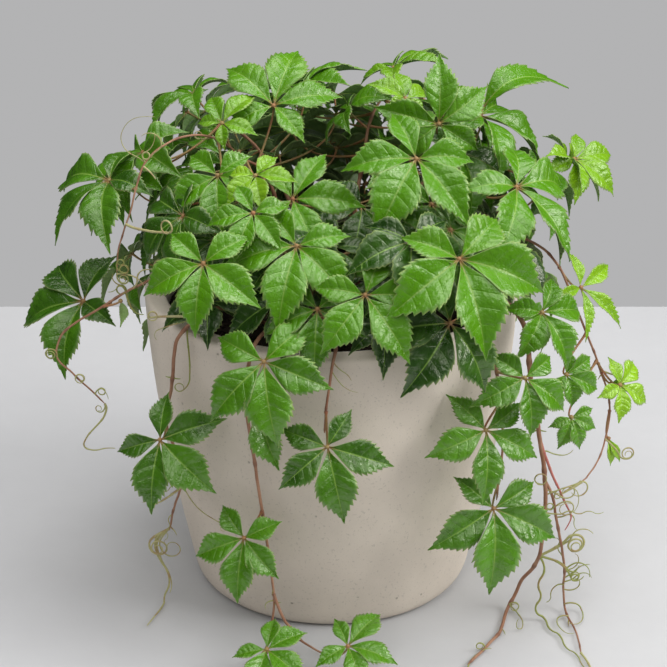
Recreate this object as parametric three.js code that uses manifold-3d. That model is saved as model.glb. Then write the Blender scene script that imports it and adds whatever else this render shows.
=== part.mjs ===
// A five-leaflet creeper in a round tapered concrete pot.
// Millimetres, +Z up. The origin is the centre of the pot's flat underside, and the viewer's side is -Y.
import * as THREE from "three";
import { mergeVertices } from "three/addons/utils/BufferGeometryUtils.js";
import Module from "manifold-3d";

// ---- Pot ----
const RIM_RADIUS = 110;
const BASE_RADIUS = 83;
const POT_HEIGHT = 187;
const WALL = 12;
const POT_FLOOR = 14;
const LIP_ROUND = 3;
const BASE_ROUND = 8;
const BELLY = 1.6; // how full the side is: 1 is a straight taper
const POT_SEGMENTS = 48;
const SIDE_LEVELS = [0.2, 0.4, 0.6, 0.8]; // where the curved side has its rings, as shares of the height
const BASE_ROUND_STEPS = 4;
const LIP_ROUND_STEPS = 3;

// ---- Soil ----
const SOIL_DROP = 15; // from the rim down to the soil at the wall
const SOIL_MOUND = 5;
const SOIL_RINGS = [0.8, 0.5, 0.25, 0]; // the surface's rings, as shares of its radius

// ---- Plant ----
const CROWN_HEIGHT = 130; // the foliage above the rim, up to the top leaves' hubs
const LEAFLET_LENGTH = 40; // the end leaflet of a leaf of size 1
const LEAFLET_WIDTH = 0.46; // this and the next four are shares of the leaflet's length
const LEAFLET_WIDEST = 0.52;
const LEAF_THICKNESS = 0.9;
const LEAFLET_FOLD = 0.1;
const LEAFLET_ARCH = 0.05;
const LEAFLET_DROOP = 0.16;
const PETIOLE_RADIUS = 0.8;
const PETIOLE_SHORTEST = 16;
const NOTCH_RADIUS = 1.8; // from the hub to the notch between two leaflets
const STALK_BEND = 0.4; // how far a stalk swings behind its leaf, as a share of its length
const STALK_SIDES = 4;
const STALK_STEPS = 3;
const STALK_CHOICE = 2.4; // how much nearness counts, against direction, when a stalk finds its stem
const VINE_SIDES = 6;
const VINE_STEP = 13; // the length of one straight piece of a vine
const FEET_PER_STEP = 3; // the places on each straight piece that a stalk may start from
const FIRST_SEED = 108;
const SEED_STEP = 97;

// ---- Fit ----
const CLEARANCE = 0.3;
const WELD = 1e-4; // corners nearer than this are one
const GROUND_GAP = 0.6; // a vine or leaf over the surface that the pot stands on
const SETTLE_STEP = 0.7;
const SETTLE_STEPS = 90;
const SETTLE_SIDEWAYS = 0.8;

// Each route is a list of [azimuth in degrees, reach, level]. Azimuth 270 is the viewer's side and 0 its
// right. A reach of 1 is the rim's radius. Levels 0 to 1 are the pot's height, and 1 to 2 the crown's above it.
const VINES = {
  stem_right: {
    radius: 1.7,
    route: [[10, 0.1, 0.95], [14, 0.35, 1.3], [17, 0.7, 1.52], [19, 1.08, 1.5]],
  },
  stem_back_right: {
    radius: 1.7,
    route: [[60, 0.12, 0.95], [60, 0.28, 1.35], [58, 0.4, 1.68], [57, 0.5, 1.76]],
  },
  stem_back_left: {
    radius: 1.7,
    route: [[130, 0.12, 0.95], [135, 0.3, 1.3], [145, 0.52, 1.58], [150, 0.68, 1.66]],
  },
  stem_left: {
    radius: 1.7,
    route: [[190, 0.12, 0.95], [190, 0.26, 1.3], [192, 0.36, 1.55], [196, 0.46, 1.62]],
  },
  stem_front_left: {
    radius: 1.7,
    route: [[240, 0.16, 0.95], [240, 0.36, 1.2], [242, 0.62, 1.28], [243, 0.8, 1.22]],
  },
  stem_front_right: {
    radius: 1.7,
    route: [[305, 0.14, 0.95], [305, 0.3, 1.22], [304, 0.56, 1.42], [303, 0.74, 1.36]],
  },
  vine_left_arch: {
    radius: 1.3,
    route: [
      [170, 0.3, 0.95], [175, 0.38, 1.4], [186, 0.56, 1.68], [194, 0.8, 1.74], [199, 1.0, 1.66],
      [202, 1.1, 1.47], [203, 1.17, 1.33], [203, 1.19, 1.2],
    ],
  },
  vine_left_reach: {
    radius: 1.3,
    route: [
      [215, 0.42, 0.95], [206, 0.7, 1.16], [203, 1.0, 1.15], [202, 1.26, 1.05], [200, 1.46, 0.96],
      [201, 1.52, 0.89], [204, 1.43, 0.82], [208, 1.33, 0.75],
    ],
  },
  vine_left_trailing: {
    radius: 1.4,
    route: [
      [228, 0.5, 0.95], [227, 0.82, 1.09], [225, 1.05, 1.04], [223, 1.09, 0.93], [221, 1.08, 0.84],
      [217, 1.07, 0.67], [222, 1.04, 0.56], [216, 1.02, 0.4], [209, 1.0, 0.27],
    ],
  },
  vine_front_trailing: {
    radius: 1.4,
    route: [
      [254, 0.52, 0.95], [250, 0.82, 1.08], [248, 1.04, 1.03], [247, 1.08, 0.87], [248, 1.04, 0.67],
      [249, 1.0, 0.48], [251, 0.98, 0.3], [253, 1.02, 0.17], [252, 1.12, 0.04], [250, 1.2, 0],
    ],
  },
  vine_front_runner: {
    radius: 1.2,
    route: [[256, 1.04, 0.13], [261, 1.0, 0.04], [267, 1.04, 0], [274, 1.12, 0.01]],
  },
  vine_front_short: {
    radius: 1.4,
    route: [[276, 0.5, 0.95], [274, 0.8, 1.1], [271, 1.04, 1.05], [269, 1.08, 0.9], [268, 1.1, 0.79]],
  },
  vine_right_trailing: {
    radius: 1.4,
    route: [
      [322, 0.46, 0.95], [318, 0.8, 1.09], [317, 1.05, 1.04], [320, 1.1, 0.87], [323, 1.11, 0.7],
      [321, 1.13, 0.55], [317, 1.17, 0.47],
    ],
  },
  vine_right_long: {
    radius: 1.5,
    route: [
      [336, 0.5, 0.95], [333, 0.85, 1.1], [331, 1.12, 1.0], [328, 1.2, 0.86], [329, 1.25, 0.68],
      [329, 1.31, 0.47], [328, 1.32, 0.34], [330, 1.27, 0.2], [332, 1.16, 0.09], [329, 1.12, 0],
      [317, 1.22, 0], [309, 1.27, 0], [302, 1.34, 0],
    ],
  },
  vine_right_branch: {
    radius: 1.3,
    route: [
      [330, 1.345, 0.44], [331, 1.37, 0.33], [333, 1.4, 0.19], [336, 1.38, 0.06], [333, 1.43, 0],
      [327, 1.56, 0], [322, 1.66, 0],
    ],
  },
  vine_right_outer: {
    radius: 1.2,
    route: [
      [15, 0.4, 0.95], [6, 0.8, 1.2], [1, 1.14, 1.15], [0, 1.35, 0.87], [359, 1.48, 0.68],
      [358, 1.53, 0.58], [354, 1.5, 0.47], [347, 1.44, 0.42], [340, 1.42, 0.44],
    ],
  },
  vine_back_left: {
    radius: 1.4,
    route: [[120, 0.45, 0.95], [120, 0.82, 1.12], [120, 1.08, 1.02], [121, 1.14, 0.8], [118, 1.15, 0.5]],
  },
  vine_back_right: {
    radius: 1.4,
    route: [[50, 0.45, 0.95], [50, 0.82, 1.12], [50, 1.08, 1.02], [48, 1.15, 0.75], [52, 1.16, 0.42]],
  },
};

// Each leaf is [azimuth, reach, level, size, turn, tilt, swing]. The first three place its hub. Turn is the
// end leaflet's angle from straight downhill, anticlockwise as seen from outside. Tilt is how far the leaf's
// face looks up from level, and swing turns the face away from straight outward.
// A group's leaves are placed in order, so a later one lies over an earlier one.
const LEAVES = {
  inner: [
    [253, 0.9, 1.22, 0.9, -50, 40, 0],
    [266, 0.95, 1.2, 0.85, 0, 35, 0],
    [174, 0.9, 1.22, 1.05, 0, 40, 40],
    [302, 1.1, 1.14, 1.15, -36, 30, -15],
  ],
  back: [
    [125, 0.95, 1.5, 1.1, -20, 50, 0],
    [85, 1.0, 1.4, 1.15, 10, 45, 0],
    [48, 1.0, 1.45, 1.1, 15, 50, 0],
    [105, 1.15, 1.02, 1.1, -10, 30, 0],
    [62, 1.22, 0.72, 1.05, 0, 25, 0],
    [124, 1.2, 0.6, 1.0, 0, 25, 0],
  ],
  crown: [
    [7, 0.78, 1.76, 1.3, 30, 55, -30],
    [56, 0.6, 1.88, 0.9, -120, 70, 100],
    [151, 0.84, 1.78, 1.0, -20, 65, 20],
    [178, 0.3, 1.83, 1.1, 170, 50, 90],
    [350, 0.55, 1.78, 1.05, 185, 15, -75],
    [215, 0.7, 1.63, 0.9, 10, 45, 35],
    [188, 0.6, 1.68, 0.65, 150, 50, 60],
    [247, 0.5, 1.54, 1.05, 85, 50, 20],
    [313, 0.62, 1.72, 1.25, -30, 45, -40],
  ],
  right: [
    [19, 1.36, 1.46, 0.9, 0, 45, -20],
    [337, 1.18, 1.02, 0.9, 20, 35, -40],
    [0, 1.34, 0.98, 0.9, 40, 35, -50],
    [338, 1.01, 1.57, 1.3, 20, 50, -25],
  ],
  left: [
    [187, 1.3, 0.96, 1.2, -50, 45, 40],
    [189, 1.16, 1.54, 1.25, -20, 58, 30],
  ],
  front: [
    [279, 1.04, 1.3, 1.1, 25, 35, 0],
    [258, 0.82, 1.44, 1.15, -12, 45, 5],
    [245, 0.76, 1.5, 0.75, -20, 45, 20],
    [305, 1.05, 1.38, 1.35, 8, 38, -20],
    [235, 1.06, 1.36, 1.05, 0, 38, 25],
  ],
  trailing: [
    [254, 1.16, 1.03, 1.15, 16, 30, 5],
    [269, 1.18, 0.77, 1.0, 18, 28, 0],
    [224, 1.1, 0.71, 1.1, 60, 30, 30],
    [246, 1.1, 0.41, 0.9, -8, 30, 10],
    [320, 1.27, 0.89, 0.9, -5, 30, -30],
    [312, 1.16, 0.74, 1.05, -12, 28, -25],
    [314, 1.2, 0.46, 1.15, -8, 30, -30],
    [356, 1.57, 0.67, 0.65, 50, 30, -50],
  ],
  ground: [
    [255, 1.28, 0.06, 0.75, 60, 60, 0],
    [274, 1.2, 0.06, 0.8, 70, 60, 0],
  ],
};

// Each leaflet's angle from the end one, its length as a share of the end one's, and the angle of the notch
// after it, in turning order.
const LEAFLETS = [
  { angle: -122, length: 0.66, notch: -92 },
  { angle: -62, length: 0.9, notch: -31 },
  { angle: 0, length: 1, notch: 31 },
  { angle: 62, length: 0.9, notch: 92 },
  { angle: 122, length: 0.66, notch: 180 },
];
const LEAFLET_ANGLE_SPREAD = 8;
const LEAFLET_LENGTH_SPREAD = 0.08;

const wasm = await Module();
wasm.setup();

// ---- Solids and meshes ----

function solidFrom(geometry) {
  const bare = geometry.index ? geometry.toNonIndexed() : geometry.clone();
  bare.deleteAttribute("normal");
  bare.deleteAttribute("uv");
  const merged = mergeVertices(bare, WELD);
  return new wasm.Manifold(
    new wasm.Mesh({
      numProp: 3,
      vertProperties: merged.attributes.position.array,
      triVerts: new Uint32Array(merged.index.array),
    }),
  );
}

function geometryFrom(solid) {
  const mesh = solid.getMesh();
  const geometry = new THREE.BufferGeometry();
  geometry.setAttribute("position", new THREE.BufferAttribute(mesh.vertProperties, 3));
  geometry.setIndex(new THREE.BufferAttribute(mesh.triVerts, 1));
  geometry.computeVertexNormals();
  return geometry;
}

function boxesMeet(a, b, gap) {
  const one = a.boundingBox();
  const two = b.boundingBox();
  return [0, 1, 2].every((i) => one.min[i] - gap < two.max[i] && two.min[i] - gap < one.max[i]);
}

function clears(solid, others, gap) {
  const near = others.filter((other) => boxesMeet(solid, other, gap));
  return near.every((other) => solid.minGap(other, 2 * gap) >= gap);
}

// ---- Places ----

function place([azimuth, reach, level]) {
  const angle = THREE.MathUtils.degToRad(azimuth);
  const radius = reach * RIM_RADIUS;
  const height = level <= 1 ? level * POT_HEIGHT : POT_HEIGHT + (level - 1) * CROWN_HEIGHT;
  return new THREE.Vector3(radius * Math.cos(angle), radius * Math.sin(angle), height);
}

function potRadius(height) {
  const share = THREE.MathUtils.clamp(height / POT_HEIGHT, 0, 1);
  return BASE_RADIUS + (RIM_RADIUS - BASE_RADIUS) * (1 - (1 - share) ** BELLY);
}

function soilHeight(radius) {
  const rest = THREE.MathUtils.clamp(1 - (radius / (RIM_RADIUS - WALL)) ** 2, 0, 1);
  return POT_HEIGHT - SOIL_DROP + SOIL_MOUND * rest;
}

// A quarter round from one profile point to another, bulging towards the corner between them.
function rounded(corner, from, to, steps) {
  return new THREE.QuadraticBezierCurve(from, corner, to).getPoints(steps);
}

// ---- Pot and soil ----

function buildPot() {
  const side = (height, inset = 0) => new THREE.Vector2(potRadius(height) - inset, height);
  const foot = new THREE.Vector2(BASE_RADIUS - BASE_ROUND, 0);
  const top = (radius) => new THREE.Vector2(radius, POT_HEIGHT);
  const lip = POT_HEIGHT - LIP_ROUND;
  const mouth = RIM_RADIUS - WALL;
  const outer = SIDE_LEVELS.map((share) => side(share * POT_HEIGHT));
  const inner = SIDE_LEVELS.map((share) => side(share * POT_HEIGHT, WALL));
  const profile = [
    new THREE.Vector2(0, 0),
    ...rounded(side(0), foot, side(BASE_ROUND), BASE_ROUND_STEPS),
    ...outer,
    ...rounded(top(RIM_RADIUS), side(lip), top(RIM_RADIUS - LIP_ROUND), LIP_ROUND_STEPS),
    ...rounded(top(mouth), top(mouth + LIP_ROUND), side(lip, WALL), LIP_ROUND_STEPS),
    ...inner.reverse(),
    new THREE.Vector2(BASE_RADIUS - WALL, POT_FLOOR),
    new THREE.Vector2(0, POT_FLOOR),
  ];
  return turned(profile);
}

function turned(profile) {
  const geometry = new THREE.LatheGeometry(profile, POT_SEGMENTS);
  geometry.rotateX(Math.PI / 2);
  return geometry;
}

function buildSoil() {
  const bottom = POT_FLOOR + CLEARANCE;
  const edge = POT_HEIGHT - SOIL_DROP;
  const wall = (height) => new THREE.Vector2(potRadius(height) - WALL - 2 * CLEARANCE, height);
  const surface = SOIL_RINGS.map((share) => {
    const radius = share * wall(edge).x;
    return new THREE.Vector2(radius, soilHeight(radius));
  });
  const profile = [
    new THREE.Vector2(0, bottom),
    new THREE.Vector2(BASE_RADIUS - WALL - 4 * CLEARANCE, bottom),
    ...SIDE_LEVELS.map((share) => wall(share * POT_HEIGHT)),
    wall(edge),
    ...surface,
  ];
  return turned(profile);
}

// ---- Vines ----

// Keeps a point of a vine's route off the soil, the pot's side and the ground.
function freed(point, radius) {
  const gap = radius + 2 * CLEARANCE;
  const reach = Math.hypot(point.x, point.y);
  const inside = reach < RIM_RADIUS - WALL;
  if (inside) {
    point.z = Math.max(point.z, soilHeight(reach) + gap);
    return point;
  }
  if (point.z < POT_HEIGHT - LIP_ROUND) {
    const least = potRadius(point.z) + gap;
    if (reach < least) {
      point.x *= least / reach;
      point.y *= least / reach;
    }
  } else if (reach < RIM_RADIUS) {
    point.z = Math.max(point.z, POT_HEIGHT + gap);
  }
  point.z = Math.max(point.z, radius + GROUND_GAP);
  return point;
}

function ring(radius, sides) {
  const corners = [];
  for (let i = 0; i < sides; i += 1) {
    const angle = (2 * Math.PI * i) / sides;
    corners.push(new THREE.Vector2(radius * Math.cos(angle), radius * Math.sin(angle)));
  }
  return new THREE.Shape(corners);
}

function tube(curve, radius, sides, steps) {
  return new THREE.ExtrudeGeometry(ring(radius, sides), { steps, extrudePath: curve });
}

function vineCurve({ radius, route }) {
  const rough = new THREE.CatmullRomCurve3(route.map(place), false, "centripetal");
  const count = Math.ceil(rough.getLength() / VINE_STEP);
  const points = rough.getSpacedPoints(count).map((point) => freed(point, radius));
  return new THREE.CatmullRomCurve3(points, false, "centripetal");
}

// ---- Leaves ----

function seededRandom(seed) {
  let state = seed;
  return () => {
    state = (state * 48271) % 2147483647;
    return state / 2147483647;
  };
}

// The leaf's blade: folded, drooping leaflets joined round the hub in one star. Each leaflet gives its own
// direction u from the hub, its direction v across, and its length. They come in turning order.
function bladeGeometry(hub, face, leaflets) {
  const top = [hub];
  for (const { u, v, length, notch } of leaflets) {
    const at = (along, across, up) =>
      hub.clone().addScaledVector(u, along * length).addScaledVector(v, across * length)
        .addScaledVector(face, up * length);
    top.push(
      at(LEAFLET_WIDEST, -LEAFLET_WIDTH / 2, LEAFLET_FOLD),
      at(1, 0, -LEAFLET_DROOP),
      at(LEAFLET_WIDEST, LEAFLET_WIDTH / 2, LEAFLET_FOLD),
      at(LEAFLET_WIDEST, 0, LEAFLET_ARCH),
      hub.clone().addScaledVector(notch, NOTCH_RADIUS),
    );
  }
  const under = top.map((point) => point.clone().addScaledVector(face, -LEAF_THICKNESS));
  const below = top.length;
  const faces = [];
  const outline = [];
  leaflets.forEach((_, k) => {
    const [right, tip, left, middle, after] = [1, 2, 3, 4, 5].map((i) => 5 * k + i);
    const before = 5 * ((k + leaflets.length - 1) % leaflets.length) + 5;
    faces.push([0, before, middle], [0, middle, after], [before, right, middle]);
    faces.push([middle, left, after], [middle, right, tip], [middle, tip, left]);
    outline.push(right, tip, left, after);
  });
  const upper = faces.slice();
  for (const [a, b, c] of upper) faces.push([below + a, below + c, below + b]);
  outline.forEach((a, i) => {
    const b = outline[(i + 1) % outline.length];
    faces.push([b, a, below + a], [b, below + a, below + b]);
  });
  const geometry = new THREE.BufferGeometry();
  geometry.setFromPoints([...top, ...under]);
  geometry.setIndex(faces.flat());
  return geometry;
}

// The leaf's own directions: its face, its end leaflet, and the way across.
function leafAxes([azimuth, , , , turn, tilt, swing]) {
  const outward = THREE.MathUtils.degToRad(azimuth + swing);
  const rise = THREE.MathUtils.degToRad(tilt);
  const level = new THREE.Vector3(Math.cos(outward), Math.sin(outward), 0);
  const up = new THREE.Vector3(0, 0, 1);
  const face = level.clone().multiplyScalar(Math.cos(rise)).addScaledVector(up, Math.sin(rise));
  const downhill = level.clone().multiplyScalar(Math.sin(rise)).addScaledVector(up, -Math.cos(rise));
  const end = downhill.applyAxisAngle(face, THREE.MathUtils.degToRad(turn));
  return { face, end };
}

// The place on a near stem that lies behind the leaf, as its stalk leaves opposite its end leaflet. The stalk
// starts at the stem's side, so it doesn't run along the stem.
function stalkFoot(hub, face, end, stems) {
  const ahead = face.clone().add(end).normalize();
  let best = null;
  for (const stem of stems) {
    stem.points.forEach((point, i) => {
      const away = hub.clone().sub(point);
      const distance = away.length();
      if (distance < PETIOLE_SHORTEST) return;
      const side = away.clone().addScaledVector(stem.tangents[i], -away.dot(stem.tangents[i]));
      const sideways = side.length() / distance;
      const cost = distance * (STALK_CHOICE - away.normalize().dot(ahead) - sideways);
      if (best && cost >= best.cost) return;
      best = { cost, point, side: side.normalize(), radius: stem.radius };
    });
  }
  return best.point.clone().addScaledVector(best.side, best.radius + PETIOLE_RADIUS + 2 * CLEARANCE);
}

function leafSolid(row, hub, foot, seed) {
  const { face, end } = leafAxes(row);
  const random = seededRandom(seed);
  const size = row[3] * LEAFLET_LENGTH;
  const turnedBy = (angle) => end.clone().applyAxisAngle(face, THREE.MathUtils.degToRad(angle));
  const leaflets = LEAFLETS.map(({ angle, length, notch }) => {
    const u = turnedBy(angle + LEAFLET_ANGLE_SPREAD * (2 * random() - 1));
    const v = face.clone().cross(u);
    const stretch = 1 + LEAFLET_LENGTH_SPREAD * (2 * random() - 1);
    return { u, v, length: size * length * stretch, notch: turnedBy(notch) };
  });
  const bend = hub.clone().addScaledVector(face, -STALK_BEND * hub.distanceTo(foot));
  const under = hub.clone().addScaledVector(face, -LEAF_THICKNESS / 2);
  const stalk = new THREE.QuadraticBezierCurve3(foot, bend, under);
  const blade = solidFrom(bladeGeometry(hub, face, leaflets));
  return blade.add(solidFrom(tube(stalk, PETIOLE_RADIUS, STALK_SIDES, STALK_STEPS)));
}

// Moves a leaf a little at a time, straight out or out to one side, until it lies clear over what is already
// there. The nearest clear place wins.
function settledLeaf(name, row, seed, stems, placed) {
  const { face, end } = leafAxes(row);
  const across = face.clone().cross(end);
  const aslant = (side, share) => face.clone().addScaledVector(side, share).normalize();
  const ways = [face.clone()];
  for (const side of [end, across]) {
    ways.push(aslant(side, SETTLE_SIDEWAYS), aslant(side, -SETTLE_SIDEWAYS));
  }
  const start = place(row);
  for (let step = 0; step < SETTLE_STEPS; step += 1) {
    for (const way of ways) {
      const hub = start.clone().addScaledVector(way, step * SETTLE_STEP);
      const foot = stalkFoot(hub, face, end, stems);
      let solid = leafSolid(row, hub, foot, seed);
      const low = solid.boundingBox().min[2];
      if (low < GROUND_GAP) {
        hub.z += GROUND_GAP - low;
        solid = leafSolid(row, hub, foot, seed);
      }
      if (clears(solid, placed, CLEARANCE)) return solid;
    }
  }
  throw new Error(name + " finds no clear place");
}

// ---- The plant in its pot ----

const FINISHES = {
  pot: { color: 0xb5aca1, roughness: 0.85, metalness: 0 },
  soil: { color: 0x33271d, roughness: 1, metalness: 0 },
  stem: { color: 0x8d5a45, roughness: 0.6, metalness: 0 },
  leaf: { color: 0x3f7f35, roughness: 0.5, metalness: 0 },
};

function named(name, geometry, finish) {
  const mesh = new THREE.Mesh(geometry, new THREE.MeshStandardMaterial(FINISHES[finish]));
  mesh.name = name;
  return mesh;
}

const plant = new THREE.Group();
const placed = [];

function addPiece(name, geometry, finish) {
  plant.add(named(name, geometry, finish));
  placed.push(solidFrom(geometry));
}

addPiece("pot", buildPot(), "pot");
addPiece("soil", buildSoil(), "soil");

const stems = [];
for (const [name, vine] of Object.entries(VINES)) {
  const curve = vineCurve(vine);
  const steps = curve.points.length - 1;
  addPiece(name, tube(curve, vine.radius, VINE_SIDES, steps), "stem");
  const feet = FEET_PER_STEP * steps;
  const shares = Array.from({ length: feet + 1 }, (_, i) => i / feet);
  stems.push({
    radius: vine.radius,
    points: shares.map((share) => curve.getPointAt(share)),
    tangents: shares.map((share) => curve.getTangentAt(share)),
  });
}

let seed = FIRST_SEED;
for (const [group, rows] of Object.entries(LEAVES)) {
  rows.forEach((row, i) => {
    const name = `leaf_${group}_${i + 1}`;
    const solid = settledLeaf(name, row, seed, stems, placed);
    plant.add(named(name, geometryFrom(solid), "leaf"));
    placed.push(solid);
    seed += SEED_STEP;
  });
}

export default plant;
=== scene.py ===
"""A five-leaflet creeper in a round tapered concrete pot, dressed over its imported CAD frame.

Metres, +Z up. The viewer's side is -Y. Azimuth 0 is the viewer's right and 270 the viewer's side.
"""

import math
import random

import bpy
import numpy as np
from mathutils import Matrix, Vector, noise
from mathutils.bvhtree import BVHTree


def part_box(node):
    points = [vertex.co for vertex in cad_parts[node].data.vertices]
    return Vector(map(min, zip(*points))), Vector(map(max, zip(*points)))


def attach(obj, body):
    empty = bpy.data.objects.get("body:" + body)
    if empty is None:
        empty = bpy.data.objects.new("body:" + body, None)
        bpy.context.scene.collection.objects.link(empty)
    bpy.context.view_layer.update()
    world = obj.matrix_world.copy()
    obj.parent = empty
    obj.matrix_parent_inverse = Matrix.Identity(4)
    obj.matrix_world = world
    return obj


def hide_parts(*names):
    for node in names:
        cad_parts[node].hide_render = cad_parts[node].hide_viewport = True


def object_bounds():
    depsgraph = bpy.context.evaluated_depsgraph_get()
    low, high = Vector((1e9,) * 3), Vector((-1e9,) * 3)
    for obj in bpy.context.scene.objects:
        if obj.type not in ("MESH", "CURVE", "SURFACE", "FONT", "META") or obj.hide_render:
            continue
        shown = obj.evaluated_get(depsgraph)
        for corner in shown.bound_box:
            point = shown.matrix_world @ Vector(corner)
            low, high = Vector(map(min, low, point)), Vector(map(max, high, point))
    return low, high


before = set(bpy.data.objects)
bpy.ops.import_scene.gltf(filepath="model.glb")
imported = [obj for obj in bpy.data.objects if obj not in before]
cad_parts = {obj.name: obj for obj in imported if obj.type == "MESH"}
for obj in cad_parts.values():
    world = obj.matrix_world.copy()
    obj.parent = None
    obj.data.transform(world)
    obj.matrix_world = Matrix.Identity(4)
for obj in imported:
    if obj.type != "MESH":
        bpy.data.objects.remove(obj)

bl_info = {
    "name": "Potted Creeper",
    "version": (1, 0, 0),
    "blender": (4, 5, 0),
    "location": "3D View > Sidebar > Creeper",
    "description": "Makes the leaves, stems, tendrils, pot and soil of a potted creeper",
    "category": "Add Mesh",
}

# ---- Measures that come from the frame ----

CAD_BOX = [list(corner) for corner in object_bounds()]
RIM_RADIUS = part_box("pot")[1].x
POT_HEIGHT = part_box("pot")[1].z
SOIL_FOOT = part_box("soil")[0].z
SOIL_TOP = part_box("soil")[1].z
SOIL_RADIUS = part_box("soil")[1].x
CROWN_HEIGHT = 0.93 * (CAD_BOX[1][2] - POT_HEIGHT)  # up to the top leaves' hubs
LEAF_NODES = sorted(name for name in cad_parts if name.startswith("leaf_"))
STEM_NODES = sorted(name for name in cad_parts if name.startswith(("stem_", "vine_")))

# How the frame's leaves and stems are built
NOTCH_RADIUS = 0.0018
BLADE_THICKNESS = 0.0009
SAME_PLACE = 2e-5
CAP_WIDTH = 0.004


# ---- Node trees ----


class Drawing:
    """Draws a node tree. Each call adds a node, feeds its inputs and hands back an output."""

    def __init__(self, tree):
        self.tree = tree

    def feed(self, socket, value):
        if isinstance(value, bpy.types.NodeSocket):
            self.tree.links.new(value, socket)
        elif value is not None:
            socket.default_value = value

    def add(self, kind, settings=None, **inputs):
        node = self.tree.nodes.new(kind)
        for name, value in (settings or {}).items():
            setattr(node, name, value)
        for name, value in inputs.items():
            socket = next(s for s in node.inputs if s.enabled and s.name == name.replace("_", " "))
            self.feed(socket, value)
        return node

    def made(self, kind, settings=None, **inputs):
        """Adds a node of which only the first output is used, and hands that back."""
        return self.add(kind, settings, **inputs).outputs[0]

    def math(self, operation, *values):
        node = self.add("ShaderNodeMath", {"operation": operation})
        for socket, value in zip(node.inputs, values):
            self.feed(socket, value)
        return node.outputs[0]

    def product(self, first, *others):
        for value in others:
            first = self.math("MULTIPLY", first, value)
        return first

    def parts(self, vector):
        """A vector's three numbers."""
        return self.add("ShaderNodeSeparateXYZ", Vector=vector).outputs

    def vector(self, operation, *values):
        node = self.add("ShaderNodeVectorMath", {"operation": operation})
        for socket, value in zip(node.inputs, values):
            self.feed(socket, value)
        return node.outputs["Value" if operation in ("DOT_PRODUCT", "LENGTH") else "Vector"]

    def scaled(self, vector, factor):
        node = self.add("ShaderNodeVectorMath", {"operation": "SCALE"}, Vector=vector)
        self.feed(node.inputs["Scale"], factor)
        return node.outputs["Vector"]

    def ramp(self, value, low, high, start=0.0, end=1.0):
        """A smooth step from start to end while the value goes from low to high."""
        node = self.add("ShaderNodeMapRange", {"interpolation_type": "SMOOTHSTEP"})
        for socket, given in zip(node.inputs, (value, low, high, start, end)):
            self.feed(socket, given)
        return node.outputs["Result"]

    def curve(self, value, points):
        """A smooth curve through the points given, read at the value."""
        node = self.add("ShaderNodeFloatCurve", Value=value)
        line = node.mapping.curves[0]
        for x, y in points[1:-1]:
            line.points.new(x, y)
        for point, (x, y) in zip(line.points, points):
            point.location = (x, y)
        node.mapping.update()
        return node.outputs["Value"]


def new_group(name, kind, inputs, outputs):
    """An empty node group with its named sockets. Returns its drawing, its inputs and its output node."""
    tree = bpy.data.node_groups.new(name, kind)
    for direction, sockets in (("INPUT", inputs), ("OUTPUT", outputs)):
        for label, (socket_type, default) in sockets.items():
            socket = tree.interface.new_socket(label, in_out=direction, socket_type=socket_type)
            if default is not None:
                socket.default_value = default
    draw = Drawing(tree)
    source = tree.nodes.new("NodeGroupInput")
    given = {label: source.outputs[label] for label in inputs}
    return draw, given, tree.nodes.new("NodeGroupOutput")


NUMBER = "NodeSocketFloat"
WHOLE = "NodeSocketInt"
ARROW = "NodeSocketVector"
SHAPE = "NodeSocketGeometry"
FINISH = "NodeSocketMaterial"


def grown(name, mesh, tree, values):
    """Runs a geometry tree on a mesh and returns what it makes as a plain object."""
    seed = bpy.data.objects.new(name + "_seed", mesh)
    bpy.context.scene.collection.objects.link(seed)
    modifier = seed.modifiers.new("Grow", "NODES")
    modifier.node_group = tree
    for item in tree.interface.items_tree:
        if item.in_out == "INPUT" and item.name in values:
            modifier[item.identifier] = values[item.name]
    depsgraph = bpy.context.evaluated_depsgraph_get()
    result = bpy.data.meshes.new_from_object(
        seed.evaluated_get(depsgraph), preserve_all_data_layers=True, depsgraph=depsgraph
    )
    bpy.data.objects.remove(seed)
    bpy.data.meshes.remove(mesh)
    return new_piece(name, result)


def new_piece(name, mesh):
    mesh.name = name
    piece = bpy.data.objects.new(name, mesh)
    bpy.context.scene.collection.objects.link(piece)
    return piece


def settle(piece, slot, *nodes):
    """Rides a piece on the plant's one body, in place of the CAD nodes that it stands for."""
    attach(piece, "root")
    if nodes:
        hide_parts(*nodes)


def read_named(draw, name, data_type="FLOAT"):
    return draw.made("GeometryNodeInputNamedAttribute", {"data_type": data_type}, Name=name)


def store_named(draw, geometry, name, value, data_type="FLOAT"):
    settings = {"data_type": data_type, "domain": "POINT"}
    node = draw.add("GeometryNodeStoreNamedAttribute", settings, Geometry=geometry, Name=name)
    draw.feed(next(s for s in node.inputs if s.enabled and s.name == "Value"), value)
    return node.outputs[0]


def swept(draw, line, profile_sides, radius):
    """A closed tube along a curve, with a radius that may change along it."""
    circle = draw.add("GeometryNodeCurvePrimitiveCircle", Resolution=profile_sides, Radius=1.0)
    tube = draw.add(
        "GeometryNodeCurveToMesh", Curve=line, Profile_Curve=circle.outputs[0], Scale=radius, Fill_Caps=True
    )
    return tube.outputs[0]


def finished(draw, geometry, material):
    smooth = draw.add("GeometryNodeSetShadeSmooth", Geometry=geometry)
    return draw.made("GeometryNodeSetMaterial", Geometry=smooth.outputs[0], Material=material)


def joined(draw, *parts):
    node = draw.tree.nodes.new("GeometryNodeJoinGeometry")
    for part in parts:
        draw.tree.links.new(part, node.inputs[0])
    return node.outputs[0]


# ---- Settings ----


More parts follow.
